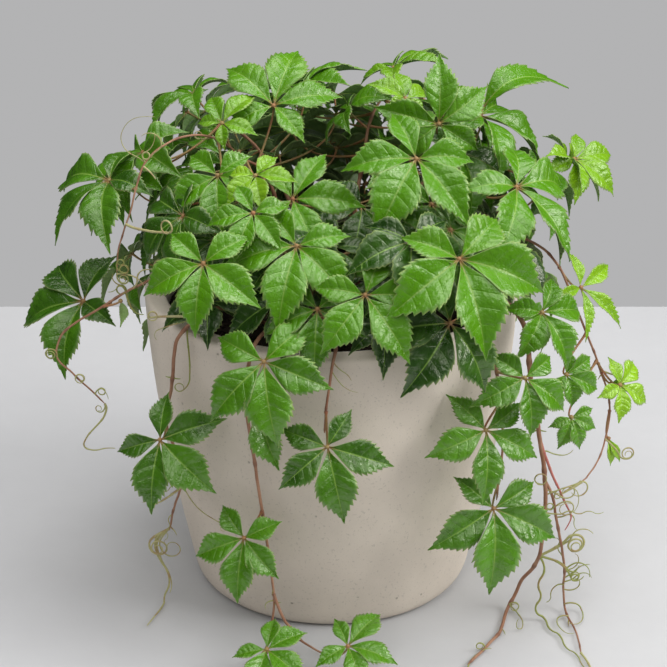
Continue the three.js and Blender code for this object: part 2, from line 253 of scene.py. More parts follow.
class PotSettings(bpy.types.PropertyGroup):
    """The pot and its soil."""

    base_share: bpy.props.FloatProperty(
        name="Base Share", description="The base's radius as a share of the rim's", default=0.7545
    )
    wall: bpy.props.FloatProperty(
        name="Wall", description="Thickness of the side", default=0.012, unit="LENGTH"
    )
    floor: bpy.props.FloatProperty(
        name="Floor", description="Thickness of the bottom", default=0.014, unit="LENGTH"
    )
    lip_round: bpy.props.FloatProperty(
        name="Lip Round", description="Radius of the lip's edges", default=0.003, unit="LENGTH"
    )
    base_round: bpy.props.FloatProperty(
        name="Base Round", description="Radius of the edge round the foot", default=0.008, unit="LENGTH"
    )
    belly: bpy.props.FloatProperty(
        name="Belly", description="How full the side is: 1 is a straight taper", default=1.6
    )
    unevenness: bpy.props.FloatProperty(
        name="Unevenness", description="How far the cast surface wanders", default=0.0003, unit="LENGTH"
    )
    concrete: bpy.props.FloatVectorProperty(
        name="Concrete",
        description="Colour of the cast wall",
        default=(0.715, 0.635, 0.54),
        subtype="COLOR",
    )
    soil: bpy.props.FloatVectorProperty(
        name="Soil",
        description="Colour of the damp potting soil",
        default=(0.03, 0.021, 0.014),
        subtype="COLOR",
    )
    crumb: bpy.props.FloatProperty(
        name="Crumb", description="Radius of the largest soil crumbs", default=0.0026, unit="LENGTH"
    )


class LeafSettings(bpy.types.PropertyGroup):
    """The leaves: five toothed leaflets round the end of one stalk."""

    length: bpy.props.FloatProperty(
        name="Length", description="End leaflet of a leaf of size 1", default=0.04, unit="LENGTH"
    )
    width: bpy.props.FloatProperty(
        name="Width", description="Half a leaflet's width as a share of its length", default=0.262
    )
    teeth: bpy.props.IntProperty(name="Teeth", description="Teeth along one edge", default=11)
    tooth_depth: bpy.props.FloatProperty(
        name="Tooth Depth", description="As a share of the leaflet's length", default=0.036
    )
    veins: bpy.props.IntProperty(name="Veins", description="Pairs of side veins", default=6)
    relief: bpy.props.FloatProperty(
        name="Relief",
        description="Swell of the blade between its veins, as a share of length",
        default=0.008,
    )
    thickness: bpy.props.FloatProperty(
        name="Thickness", description="Thickness of the blade", default=0.0003, unit="LENGTH"
    )
    young: bpy.props.FloatVectorProperty(
        name="Young",
        description="Colour of the youngest leaves",
        default=(0.27, 0.52, 0.008),
        subtype="COLOR",
    )
    grown: bpy.props.FloatVectorProperty(
        name="Grown", description="Colour of a grown leaf", default=(0.086, 0.27, 0.001), subtype="COLOR"
    )
    # Painted shade: the dark green given to the leaves deep inside and under the plant, where shade falls
    shaded: bpy.props.FloatVectorProperty(
        name="Shaded",
        description="Colour of the old leaves inside",
        default=(0.01, 0.052, 0.001),
        subtype="COLOR",
    )
    vein: bpy.props.FloatVectorProperty(
        name="Vein", description="Colour of the veins", default=(0.24, 0.42, 0.06), subtype="COLOR"
    )


class StemSettings(bpy.types.PropertyGroup):
    """The stems, stalks and tendrils."""

    node_spacing: bpy.props.FloatProperty(
        name="Joint Spacing",
        description="Between the stem's swollen joints",
        default=0.034,
        unit="LENGTH",
    )
    swelling: bpy.props.FloatProperty(
        name="Swelling", description="How much wider a joint is, as a share", default=0.32
    )
    tip_share: bpy.props.FloatProperty(
        name="Tip Share",
        description="A stem's radius at its tip as a share of that at its foot",
        default=0.5,
    )
    wobble: bpy.props.FloatProperty(
        name="Wobble", description="How far a stem wanders off its line", default=0.0006, unit="LENGTH"
    )
    tendril_radius: bpy.props.FloatProperty(
        name="Tendril Radius",
        description="Radius of a tendril at its foot",
        default=0.00048,
        unit="LENGTH",
    )
    stalk_radius: bpy.props.FloatProperty(
        name="Stalk Radius", description="Radius of a leaf's stalk", default=0.0008, unit="LENGTH"
    )
    bark: bpy.props.FloatVectorProperty(
        name="Bark",
        description="Colour of the woody stems",
        default=(0.25, 0.105, 0.055),
        subtype="COLOR",
    )
    blush: bpy.props.FloatVectorProperty(
        name="Blush",
        description="Colour of the leaf stalks and young stems",
        default=(0.4, 0.13, 0.07),
        subtype="COLOR",
    )
    tendril: bpy.props.FloatVectorProperty(
        name="Tendril", description="Colour of the tendrils", default=(0.5, 0.46, 0.22), subtype="COLOR"
    )


class StageSettings(bpy.types.PropertyGroup):
    """The table, the lamps and the camera."""

    camera_place: bpy.props.FloatVectorProperty(
        name="Camera Place",
        description="Where the camera stands",
        default=(0, -1.1, 0.641),
        subtype="TRANSLATION",
    )
    camera_tilt: bpy.props.FloatProperty(
        name="Camera Tilt",
        description="Up from straight down",
        default=math.radians(66.1),
        subtype="ANGLE",
    )
    lens: bpy.props.FloatProperty(
        name="Lens", description="In millimetres on a 36 mm sensor", default=108.7
    )
    table_size: bpy.props.FloatProperty(
        name="Table Size", description="Side of the square table top", default=0.8, unit="LENGTH"
    )
    table: bpy.props.FloatVectorProperty(
        name="Table", description="Colour of the table top", default=(0.56, 0.56, 0.568), subtype="COLOR"
    )
    room: bpy.props.FloatVectorProperty(
        name="Room",
        description="Colour of the wall all round",
        default=(0.45, 0.45, 0.455),
        subtype="COLOR",
    )
    room_light: bpy.props.FloatProperty(
        name="Room Light",
        description="The light that the wall gives, as a share of its own colour",
        default=1.02,
    )
    room_gloss: bpy.props.FloatProperty(
        name="Room Gloss",
        description="How bright the wall is where it's mirrored, as a share",
        default=0.05,
    )
    key_power: bpy.props.FloatProperty(
        name="Key Power", description="Main lamp, in watts", default=24
    )
    sky_power: bpy.props.FloatProperty(
        name="Sky Power", description="Upper lamp behind, in watts", default=16
    )
    fill_power: bpy.props.FloatProperty(
        name="Fill Power", description="Wide front lamp, in watts", default=22
    )


# ---- Surfaces ----


def object_place(draw, scale):
    """Object coordinates in units of 1/scale metres."""
    place = draw.tree.nodes.new("ShaderNodeTexCoord").outputs["Object"]
    return draw.scaled(place, scale)


def shader_attribute(draw, name, output="Fac"):
    return draw.add("ShaderNodeAttribute", {"attribute_name": name}).outputs[output]


def mottle_group():
    """Soft uneven patches from 0 to 1."""
    inputs = {"Scale": (NUMBER, 50.0), "Contrast": (NUMBER, 1.0)}
    draw, given, out = new_group("mottle", "ShaderNodeTree", inputs, {"Value": (NUMBER, None)})
    place = object_place(draw, 1.0)
    cloud = draw.add("ShaderNodeTexNoise", Vector=place, Scale=given["Scale"], Detail=4.0)
    centred = draw.math("SUBTRACT", cloud.outputs[0], 0.5)
    spread = draw.math("MULTIPLY_ADD", centred, given["Contrast"], 0.5)
    draw.feed(out.inputs["Value"], draw.math("MINIMUM", draw.math("MAXIMUM", spread, 0.0), 1.0))
    return draw.tree


def grain_group():
    """Fine grain: its height, and its darkest specks."""
    inputs = {"Scale": (NUMBER, 900.0), "Speck Share": (NUMBER, 0.3)}
    outputs = {"Height": (NUMBER, None), "Specks": (NUMBER, None)}
    draw, given, out = new_group("grain", "ShaderNodeTree", inputs, outputs)
    place = object_place(draw, 1.0)
    fine = draw.add("ShaderNodeTexNoise", Vector=place, Scale=given["Scale"], Detail=3.0)
    coarse = draw.math("MULTIPLY", given["Scale"], 0.45)
    spots = draw.add("ShaderNodeTexNoise", Vector=place, Scale=coarse, Detail=2.0)
    draw.feed(out.inputs["Height"], fine.outputs[0])
    edge = draw.math("MULTIPLY_ADD", given["Speck Share"], 0.25, 0.3)
    specks = draw.ramp(spots.outputs[0], edge, draw.math("SUBTRACT", edge, 0.06))
    draw.feed(out.inputs["Specks"], specks)
    return draw.tree


def vein_group():
    """A leaflet's veins from its own places: 0 to 1 from foot to tip, and -1 to 1 across."""
    inputs = {"Pairs": (NUMBER, 6.0)}
    outputs = {label: (NUMBER, None) for label in ("Veins", "Midrib", "Edge", "Foot", "Height")}
    draw, given, out = new_group("leaf_veins", "ShaderNodeTree", inputs, outputs)
    run, side, _ = draw.parts(shader_attribute(draw, "leaf_place", "Vector"))
    reach = draw.math("ABSOLUTE", side)
    off_vein = draw.math("PINGPONG", draw.math("MULTIPLY", run, given["Pairs"]), 0.5)
    width = draw.math("MULTIPLY_ADD", reach, -0.05, 0.1)
    side_veins = draw.ramp(off_vein, width, 0.015)
    inward = draw.ramp(reach, 1.0, 0.55, 0.15, 1.0)
    faded = draw.math("MULTIPLY", side_veins, inward)
    quilting = draw.math("MULTIPLY", draw.ramp(off_vein, 0.34, 0.02), inward)
    net_place = object_place(draw, 1.0)
    net = draw.add(
        "ShaderNodeTexVoronoi", {"feature": "DISTANCE_TO_EDGE"}, Vector=net_place, Scale=850.0
    )
    net_lines = draw.math("MULTIPLY", draw.ramp(net.outputs["Distance"], 0.09, 0.0), 0.22)
    blister = draw.made("ShaderNodeTexNoise", Vector=net_place, Scale=420.0, Detail=2.0)
    midrib = draw.ramp(reach, draw.math("MULTIPLY_ADD", run, -0.03, 0.085), 0.02)
    draw.feed(out.inputs["Veins"], draw.math("MAXIMUM", faded, net_lines))
    draw.feed(out.inputs["Midrib"], midrib)
    draw.feed(out.inputs["Edge"], draw.ramp(reach, 0.9, 1.0))
    draw.feed(out.inputs["Foot"], draw.ramp(run, 0.1, 0.02))
    sunk = draw.math("MAXIMUM", draw.math("MAXIMUM", faded, net_lines), midrib)
    creased = draw.math("MULTIPLY_ADD", sunk, -0.26, draw.math("MULTIPLY", blister, 1.25))
    raised = draw.math("MULTIPLY_ADD", quilting, -0.2, creased)
    draw.feed(out.inputs["Height"], raised)
    return draw.tree


class Coat:
    """One material: its drawing and its Principled shader."""

    def __init__(self, name):
        self.material = bpy.data.materials.new(name)
        self.material.use_nodes = True
        tree = self.material.node_tree
        self.draw = Drawing(tree)
        self.shader = next(node for node in tree.nodes if node.type == "BSDF_PRINCIPLED")

    def group(self, group, **values):
        node = self.draw.add("ShaderNodeGroup", {"node_tree": group})
        for label, value in values.items():
            self.draw.feed(node.inputs[label.replace("_", " ")], value)
        return node.outputs

    def mixed(self, factor, first, second):
        """One colour or the other, by a factor."""
        node = self.draw.add("ShaderNodeMix", {"data_type": "RGBA"}, Factor=factor)
        for label, value in (("A", first), ("B", second)):
            socket = next(s for s in node.inputs if s.enabled and s.name == label)
            self.draw.feed(socket, value if isinstance(value, bpy.types.NodeSocket) else (*value, 1.0))
        return next(s for s in node.outputs if s.enabled)

    def wear(self, colour, roughness, height=None, depth=0.0001, specular=0.5, tint=(1, 1, 1)):
        """Feeds the shader. The tint colours its gloss."""
        self.draw.feed(self.shader.inputs["Base Color"], colour)
        self.draw.feed(self.shader.inputs["Roughness"], roughness)
        self.shader.inputs["Specular IOR Level"].default_value = specular
        self.shader.inputs["Specular Tint"].default_value = (*tint, 1.0)
        if height is not None:
            bump = self.draw.add("ShaderNodeBump", Strength=1.0, Distance=depth, Height=height)
            self.draw.feed(self.shader.inputs["Normal"], bump.outputs[0])
        return self.material


def leaf_finish(leaf, groups):
    coat = Coat("leaf_blade")
    draw = coat.draw
    tone = shader_attribute(draw, "leaf_tone")
    under = shader_attribute(draw, "leaf_under")
    veins = coat.group(groups["veins"], Pairs=float(leaf.veins))
    clouds = coat.group(groups["mottle"], Scale=90.0, Contrast=1.6)["Value"]
    uneven = draw.math("MULTIPLY_ADD", draw.math("SUBTRACT", clouds, 0.5), 0.22, tone)
    # Painted shade: a low tone mixes the blade from the grown green toward the shaded dark green
    shade_to_grown = coat.mixed(draw.ramp(uneven, 0.0, 0.5), leaf.shaded, leaf.grown)
    blade = coat.mixed(draw.ramp(uneven, 0.55, 1.0), shade_to_grown, leaf.young)
    pale = coat.mixed(draw.math("MULTIPLY", under, 0.55), blade, (0.3, 0.42, 0.2))
    veined = coat.mixed(draw.math("MULTIPLY", veins["Veins"], 0.055), pale, leaf.vein)
    ribbed = coat.mixed(draw.math("MULTIPLY", veins["Midrib"], 0.45), veined, leaf.vein)
    # A lighter yellow-green margin: partly the margin's own colour, partly a painted rim highlight
    edge_and_rim_highlight = coat.mixed(draw.math("MULTIPLY", veins["Edge"], 0.45), ribbed, (0.36, 0.46, 0.1))
    footed = coat.mixed(draw.math("MULTIPLY", veins["Foot"], 0.8), edge_and_rim_highlight, (0.3, 0.12, 0.05))
    gloss = draw.math("MULTIPLY_ADD", clouds, 0.14, 0.22)
    roughness = draw.math("MULTIPLY_ADD", under, 0.25, gloss)
    return coat.wear(footed, roughness, veins["Height"], 0.0005, 1.0, (1.0, 1.0, 0.85))


def rib_finish(leaf, groups):
    """The raised midribs, pale green and reddish at the foot."""
    coat = Coat("leaf_rib")
    run = coat.draw.parts(shader_attribute(coat.draw, "leaf_place", "Vector"))[0]
    red = coat.draw.ramp(run, 0.3, 0.0)
    clouds = coat.group(groups["mottle"], Scale=400.0)["Value"]
    colour = coat.mixed(red, leaf.vein, (0.32, 0.17, 0.08))
    return coat.wear(colour, coat.draw.math("MULTIPLY_ADD", clouds, 0.2, 0.4))


def stem_finish(name, first, second, joint_colour, groups):
    """Bark or skin along a stem: streaks, joints and fine pores."""
    coat = Coat(name)
    draw = coat.draw
    joint = shader_attribute(draw, "stem_joint")
    clouds = coat.group(groups["mottle"], Scale=130.0, Contrast=2.2)["Value"]
    pores = coat.group(groups["grain"], Scale=2200.0, Speck_Share=0.35)
    base = coat.mixed(clouds, first, second)
    speckled = coat.mixed(draw.math("MULTIPLY", pores["Specks"], 0.4), base, joint_colour)
    jointed = coat.mixed(draw.math("MULTIPLY", joint, 0.65), speckled, joint_colour)
    roughness = draw.math("MULTIPLY_ADD", clouds, 0.15, 0.48)
    return coat.wear(jointed, roughness, pores["Height"], 0.00012, 0.4)


def tendril_finish(stem, groups):
    """Cream at a tone of 0, green at 1 and rose at 2, and browner in patches."""
    coat = Coat("tendril_skin")
    draw = coat.draw
    clouds = coat.group(groups["mottle"], Scale=160.0, Contrast=2.4)["Value"]
    tone = shader_attribute(draw, "line_tone")
    greened = coat.mixed(draw.math("MINIMUM", tone, 1.0), tuple(stem.tendril), (0.24, 0.29, 0.05))
    own = coat.mixed(draw.ramp(tone, 1.0, 2.0), greened, (0.5, 0.16, 0.13))
    browned = coat.mixed(draw.math("MULTIPLY", draw.ramp(clouds, 0.5, 0.9), 0.6), own, (0.36, 0.19, 0.09))
    return coat.wear(browned, draw.math("MULTIPLY_ADD", clouds, 0.15, 0.42), clouds, 0.00005, 0.45)


def concrete_finish(pot, groups):
    coat = Coat("cast_concrete")
    draw = coat.draw
    base = Vector(pot.concrete)
    broad = coat.group(groups["mottle"], Scale=14.0, Contrast=1.7)["Value"]
    small = coat.group(groups["mottle"], Scale=95.0, Contrast=1.5)["Value"]
    sand = coat.group(groups["grain"], Scale=1500.0, Speck_Share=0.3)
    toned = coat.mixed(broad, tuple(base * 0.88), tuple(base * 1.08))
    flecked = coat.mixed(draw.math("MULTIPLY", small, 0.4), toned, tuple(base * 0.84))
    speckled = coat.mixed(draw.math("MULTIPLY", sand["Specks"], 0.3), flecked, tuple(base * 0.45))
    height = draw.parts(object_place(draw, 1.0))[2]
    # Painted highlight: the top of the lip is lighter, where the light falls on it
    lip_highlight = draw.ramp(height, POT_HEIGHT - 0.008, POT_HEIGHT - 0.001)
    lip_highlighted = coat.mixed(draw.math("MULTIPLY", lip_highlight, 0.35), speckled, tuple(base * 1.22))
    # Painted shade: the wall darkens over its lowest 16 mm, where it meets the table
    foot = draw.ramp(height, 0.016, 0.0)
    foot_shaded = coat.mixed(draw.math("MULTIPLY", foot, 0.25), lip_highlighted, tuple(base * 0.7))
    # Painted shade in the pits: the chosen cells are darkened as well as sunk by the bump
    holes = draw.add("ShaderNodeTexVoronoi", Vector=object_place(draw, 1.0), Scale=130.0)
    chosen = draw.ramp(draw.parts(holes.outputs["Color"])[0], 0.8, 0.82)
    pit = draw.math("MULTIPLY", draw.ramp(holes.outputs["Distance"], 0.13, 0.05), chosen)
    pits_shaded = coat.mixed(draw.math("MULTIPLY", pit, 0.5), foot_shaded, tuple(base * 0.35))
    relief = draw.math("MULTIPLY_ADD", sand["Height"], 0.45, draw.math("MULTIPLY", small, 0.3))
    height_out = draw.math("MULTIPLY_ADD", pit, -1.6, relief)
    roughness = draw.math("MULTIPLY_ADD", small, 0.14, 0.76)
    return coat.wear(pits_shaded, roughness, height_out, 0.00025, 0.3)


def soil_finish(pot, groups):
    coat = Coat("potting_soil")
    base = Vector(pot.soil)
    clouds = coat.group(groups["mottle"], Scale=160.0, Contrast=2.5)["Value"]
    grit = coat.group(groups["grain"], Scale=1200.0, Speck_Share=0.4)
    toned = coat.mixed(clouds, tuple(base * 0.6), tuple(base * 1.9))
    dotted = coat.mixed(coat.draw.math("MULTIPLY", grit["Specks"], 0.5), toned, tuple(base * 0.3))
    return coat.wear(dotted, coat.draw.math("MULTIPLY_ADD", clouds, 0.2, 0.75), grit["Height"], 0.0006, 0.3)


def table_finish(stage, groups):
    coat = Coat("table_top")
    base = Vector(stage.table)
    broad = coat.group(groups["mottle"], Scale=9.0, Contrast=1.4)["Value"]
    small = coat.group(groups["mottle"], Scale=60.0, Contrast=1.3)["Value"]
    toned = coat.mixed(broad, tuple(base * 0.95), tuple(base * 1.04))
    flecked = coat.mixed(coat.draw.math("MULTIPLY", small, 0.3), toned, tuple(base * 0.9))
    return coat.wear(flecked, 0.7, small, 0.0002, 0.3)


FINISHES = {}


def make_finishes(scene):
    """Builds the shared groups once, and each material from them."""
    groups = {"mottle": mottle_group(), "grain": grain_group(), "veins": vein_group()}
    leaf, stem, pot = scene.creeper_leaf, scene.creeper_stem, scene.creeper_pot
    stalk_green, stalk_joint = (0.3, 0.3, 0.1), (0.25, 0.08, 0.05)
    pale_bark, bark_joint = (0.42, 0.23, 0.14), (0.16, 0.07, 0.045)
    FINISHES["blade"] = leaf_finish(leaf, groups)
    FINISHES["rib"] = rib_finish(leaf, groups)
    FINISHES["stalk"] = stem_finish("leaf_stalk", tuple(stem.blush), stalk_green, stalk_joint, groups)
    FINISHES["bark"] = stem_finish("stem_bark", tuple(stem.bark), pale_bark, bark_joint, groups)
    FINISHES["tendril"] = tendril_finish(stem, groups)
    FINISHES["concrete"] = concrete_finish(pot, groups)
    FINISHES["soil"] = soil_finish(pot, groups)
    FINISHES["table"] = table_finish(scene.creeper_stage, groups)


# ---- Reading the frame's stems and leaves ----


def merged_points(node):
    """A CAD node's points without doubles, each one's neighbours, and the faces as triples of points."""
    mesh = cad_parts[node].data
    corners = np.array([vertex.co for vertex in mesh.vertices])
    points, ids = np.unique(np.round(corners, 6), axis=0, return_inverse=True)
    ids = ids.reshape(-1)
    faces = [tuple(ids[i] for i in face.vertices) for face in mesh.polygons]
    near = [set() for _ in points]
    for face in faces:
        for corner in face:
            near[corner].update(set(face) - {corner})
    return points, near, faces


def turned_order(arrows, axis):
    """The arrows' order of turning about an axis."""
    first = arrows[0] - axis * axis.dot(arrows[0])
    across = axis.cross(first)
    return sorted(range(len(arrows)), key=lambda i: math.atan2(arrows[i].dot(across), arrows[i].dot(first)))


def read_leaf(node):
    """A CAD leaf's hub, face, leaflets in turning order with the end one third, and its stalk's foot."""
    points, near, faces = merged_points(node)

    def is_notch(i, j):
        return abs(np.linalg.norm(points[j] - points[i]) - NOTCH_RADIUS) < SAME_PLACE

    def notches(i):
        return [j for j in near[i] if is_notch(i, j)]

    middle = max(range(len(points)), key=lambda i: len(notches(i)))
    around = notches(middle)
    hub = Vector(points[middle])
    face = Vector((0, 0, 0))
    for corners in faces:
        if middle in corners:
            a, b, c = (Vector(points[i]) for i in corners)
            face += (b - a).cross(c - a).normalized()
    spokes = [Vector(points[j]) - hub for j in around]
    order = turned_order(spokes, face.normalized())
    flat = [spokes[order[i]].cross(spokes[order[(i + 1) % len(order)]]) for i in range(len(order))]
    face = sum(flat, Vector((0, 0, 0))).normalized()
    backbones = near[middle] - set(around)
    tips = [max(near[i], key=lambda j: (Vector(points[j]) - hub).length) for i in backbones]
    arrows = [Vector(points[i]) - hub for i in tips]
    arrows = [arrow - face * face.dot(arrow) for arrow in arrows]
    arrows = [arrows[i] for i in turned_order(arrows, face)]
    gaps = [arrows[i - 1].angle(arrows[i]) for i in range(len(arrows))]
    start = gaps.index(max(gaps))
    blade = {middle, *around, *backbones, *tips}
    for i in backbones:
        blade |= near[i]
    upper = [points[i] for i in blade]
    under = [place - np.array(face) * BLADE_THICKNESS for place in upper]
    skin = np.array(upper + under)
    stalk = [place for place in points if np.linalg.norm(skin - place, axis=1).min() > 5 * SAME_PLACE]
    far = max(stalk, key=lambda place: np.linalg.norm(place - points[middle]))
    end = [place for place in stalk if np.linalg.norm(place - far) < CAP_WIDTH / 2]
    foot = Vector(np.mean(end, axis=0))
    return hub, face, arrows[start:] + arrows[:start], foot


def read_stem(node):
    """A CAD stem's centre line from its foot to its tip, and its radius."""
    points, near, _ = merged_points(node)

    def rings_from(start):
        seen = set(start)
        rings = [sorted(start)]
        while True:
            after = {j for i in rings[-1] for j in near[i]} - seen
            if not after:
                return rings
            rings.append(sorted(after))
            seen |= after

    last = rings_from({0})[-1][0]
    cap = {i for i in range(len(points)) if np.linalg.norm(points[i] - points[last]) < CAP_WIDTH}
    rings = rings_from(cap)
    centres = [Vector(points[ring].mean(axis=0)) for ring in rings]
    radius = (Vector(points[rings[0][0]]) - centres[0]).length
    if centres[0].xy.length > centres[-1].xy.length:
        centres.reverse()
    return centres, radius


STEMS = {node: read_stem(node) for node in STEM_NODES}


# ---- Places on and round the pot ----


def place(azimuth, reach, level):
    """Degrees, shares of the rim's radius, and 0 to 1 up the pot, then 1 to 2 up the crown."""
    angle = math.radians(azimuth)
    radius = reach * RIM_RADIUS
    height = level * POT_HEIGHT if level <= 1 else POT_HEIGHT + (level - 1) * CROWN_HEIGHT
    return Vector((radius * math.cos(angle), radius * math.sin(angle), height))


def leaf_axes(azimuth, turn, tilt):
    """A leaf's face and its end leaflet's direction. Turn is from straight downhill."""
    outward, rise = math.radians(azimuth), math.radians(tilt)
    level = Vector((math.cos(outward), math.sin(outward), 0))
    face = level * math.cos(rise) + Vector((0, 0, math.sin(rise)))
    downhill = level * math.sin(rise) - Vector((0, 0, math.cos(rise)))
    angle = math.radians(turn)
    return face, downhill * math.cos(angle) + face.cross(downhill) * math.sin(angle)


# ---- Pot and soil ----

# The pot's section and turning: how finely its foot, round edges, side and circle are divided
FOOT_RINGS = (0.3, 0.6, 0.8)
BASE_STEPS = 8
LIP_STEPS = 6
SIDE_ROWS = 60
POT_SEGMENTS = 180

# The cast surface: how many broad swells and fine dimples there are to a metre, and how deep the fine ones
# are as a share of the broad ones
BROAD_SWELLS = 22
FINE_DIMPLES = 140
FINE_SHARE = 0.45
TRUE_FOOT = 0.001  # lower than this, or nearer the axis, it stays true

# The soil: its gap to the wall, its edge below the rim, the height of its heaps and how many there are to a
# metre, where they are let in from the top and the edge, and how finely it is divided
SOIL_GAP = 0.0008
SOIL_BELOW_RIM = 0.0155
SOIL_HEAP = 0.0016
SOIL_HEAPS = 90
SOIL_SKIN = 0.001
SOIL_BORDER = 0.002
SOIL_ROWS = 12
SOIL_RINGS = 30
SOIL_SEGMENTS = 96


def lathe(profile, segments):
    """A closed turned mesh. The profile starts and ends on the axis, and runs with the wall on its left."""
    points = [(0, 0, profile[0][1])]
    inner = profile[1:-1]
    for radius, height in inner:
        for i in range(segments):
            angle = 2 * math.pi * i / segments
            points.append((radius * math.cos(angle), radius * math.sin(angle), height))
    points.append((0, 0, profile[-1][1]))
    faces = []
    for i in range(segments):
        after = (i + 1) % segments
        faces.append((0, 1 + after, 1 + i))
        for row in range(len(inner) - 1):
            low, high = 1 + row * segments, 1 + (row + 1) * segments
            faces.append((low + i, low + after, high + after, high + i))
        top = 1 + (len(inner) - 1) * segments
        faces.append((top + i, top + after, len(points) - 1))
    mesh = bpy.data.meshes.new("turned")
    mesh.from_pydata(points, [], faces)
    mesh.shade_smooth()
    return mesh


def arc(corner, start, end, steps):
    """A rounded corner from start to end, pulled towards the corner."""
    for i in range(steps + 1):
        t = i / steps
        a, b, c = (1 - t) ** 2, 2 * t * (1 - t), t * t
        yield (a * start[0] + b * corner[0] + c * end[0], a * start[1] + b * corner[1] + c * end[1])


def side_radius(pot, height):
    rest = 1 - min(max(height / POT_HEIGHT, 0), 1)
    return RIM_RADIUS * (pot.base_share + (1 - pot.base_share) * (1 - rest**pot.belly))


def pot_profile(pot, rows):
    """The pot's section from the middle of its foot, up the outside, over the lip and down to its floor."""
    low, high = pot.base_round, POT_HEIGHT - pot.lip_round
    heights = [low + (high - low) * i / rows for i in range(1, rows)]
    inside = [height for height in reversed(heights[::4]) if height > pot.floor]
    base = side_radius(pot, 0)
    inner_rim = RIM_RADIUS - pot.wall
    outer_edge, inner_edge = (RIM_RADIUS, POT_HEIGHT), (inner_rim, POT_HEIGHT)
    outer_top, inner_top = (RIM_RADIUS - pot.lip_round, POT_HEIGHT), (inner_rim + pot.lip_round, POT_HEIGHT)
    return [
        (0, 0),
        *[(base * share, 0) for share in FOOT_RINGS],
        *arc((base, 0), (base - pot.base_round, 0), (side_radius(pot, low), low), BASE_STEPS),
        *[(side_radius(pot, height), height) for height in heights],
        *arc(outer_edge, (side_radius(pot, high), high), outer_top, LIP_STEPS),
        *arc(inner_edge, inner_top, (side_radius(pot, high) - pot.wall, high), LIP_STEPS),
        *[(side_radius(pot, height) - pot.wall, height) for height in inside],
        (base - pot.wall, pot.floor),
        (0, pot.floor),
    ]


def cast_unevenness(mesh, amount):
    """Lets the outer wall wander a little, as a cast one does. The foot and the inside stay true."""
    for vertex in mesh.vertices:
        outward = Vector((vertex.co.x, vertex.co.y, 0))
        if vertex.co.z < TRUE_FOOT or outward.length < TRUE_FOOT:
            continue
        broad = noise.noise(vertex.co * BROAD_SWELLS)
        fine = noise.noise(vertex.co * FINE_DIMPLES)
        vertex.co += outward.normalized() * amount * (broad + FINE_SHARE * fine)


class CREEPER_OT_pot(bpy.types.Operator):
    """Makes the tapered concrete pot"""

    bl_idname = "creeper.pot"
    bl_label = "Pot"

    def execute(self, context):
        pot = context.scene.creeper_pot
        mesh = lathe(pot_profile(pot, SIDE_ROWS), POT_SEGMENTS)
        cast_unevenness(mesh, pot.unevenness)
        mesh.materials.append(FINISHES["concrete"])
        settle(new_piece("pot_shell", mesh), "pot", "pot")
        return {"FINISHED"}


def crumb_tree():
    """Scatters crumbs over the faces that look up."""
    inputs = {
        "Geometry": (SHAPE, None),
        "Largest": (NUMBER, 0.002),
        "Density": (NUMBER, 60000.0),
        "Seed": (WHOLE, 5),
        "Finish": (FINISH, None),
    }
    draw, given, out = new_group("soil_crumbs", "GeometryNodeTree", inputs, {"Geometry": (SHAPE, None)})
    random_vector = ("FunctionNodeRandomValue", {"data_type": "FLOAT_VECTOR"})
    facing = draw.parts(draw.made("GeometryNodeInputNormal"))[2]
    points = draw.add(
        "GeometryNodeDistributePointsOnFaces",
        Mesh=given["Geometry"],
        Selection=draw.math("GREATER_THAN", facing, 0.6),
        Density=given["Density"],
        Seed=given["Seed"],
    )
    ball = draw.add("GeometryNodeMeshIcoSphere", Radius=1.0, Subdivisions=1)
    lumpy = draw.add(*random_vector, Min=(-0.3,) * 3, Max=(0.3,) * 3, Seed=3)
    lump = draw.add("GeometryNodeSetPosition", Geometry=ball.outputs[0], Offset=lumpy.outputs[0])
    size = draw.add(*random_vector, Min=(0.25,) * 3, Max=(1.0, 0.9, 0.7), Seed=given["Seed"])
    spin = draw.add(*random_vector, Max=(math.tau,) * 3, Seed=9)
    crumbs = draw.add(
        "GeometryNodeInstanceOnPoints",
        Points=points.outputs[0],
        Instance=lump.outputs[0],
        Rotation=spin.outputs[0],
        Scale=draw.scaled(size.outputs[0], given["Largest"]),
    )
    plain = draw.add("GeometryNodeRealizeInstances", Geometry=crumbs.outputs[0])
    whole = joined(draw, given["Geometry"], plain.outputs[0])
    set_finish = draw.add("GeometryNodeSetMaterial", Geometry=whole, Material=given["Finish"])
    draw.feed(out.inputs[0], set_finish.outputs[0])
    return draw.tree


class CREEPER_OT_soil(bpy.types.Operator):
    """Makes the soil and its crumbs"""

    bl_idname = "creeper.soil"
    bl_label = "Soil"

    def execute(self, context):
        pot = context.scene.creeper_pot
        foot = side_radius(pot, 0) - pot.wall - 2 * SOIL_GAP
        edge = POT_HEIGHT - SOIL_BELOW_RIM
        rises = [SOIL_FOOT + (edge - SOIL_FOOT) * i / SOIL_ROWS for i in range(1, SOIL_ROWS + 1)]
        radii = [SOIL_RADIUS * i / SOIL_RINGS for i in range(SOIL_RINGS - 1, 0, -1)]
        profile = [
            (0, SOIL_FOOT),
            (foot, SOIL_FOOT),
            *[(side_radius(pot, height) - pot.wall - SOIL_GAP, height) for height in rises],
            *[(radius, edge + (SOIL_TOP - edge) * (1 - (radius / SOIL_RADIUS) ** 2)) for radius in radii],
            (0, SOIL_TOP),
        ]
        mesh = lathe(profile, SOIL_SEGMENTS)
        for vertex in mesh.vertices:
            if vertex.co.z > edge - SOIL_SKIN and vertex.co.xy.length < SOIL_RADIUS - SOIL_BORDER:
                vertex.co.z += SOIL_HEAP * noise.noise(vertex.co * SOIL_HEAPS) - SOIL_HEAP / 2
        values = {"Largest": pot.crumb, "Finish": FINISHES["soil"]}
        settle(grown("soil_bed", mesh, crumb_tree(), values), "soil", "soil")
        return {"FINISHED"}


# ---- Stems ----


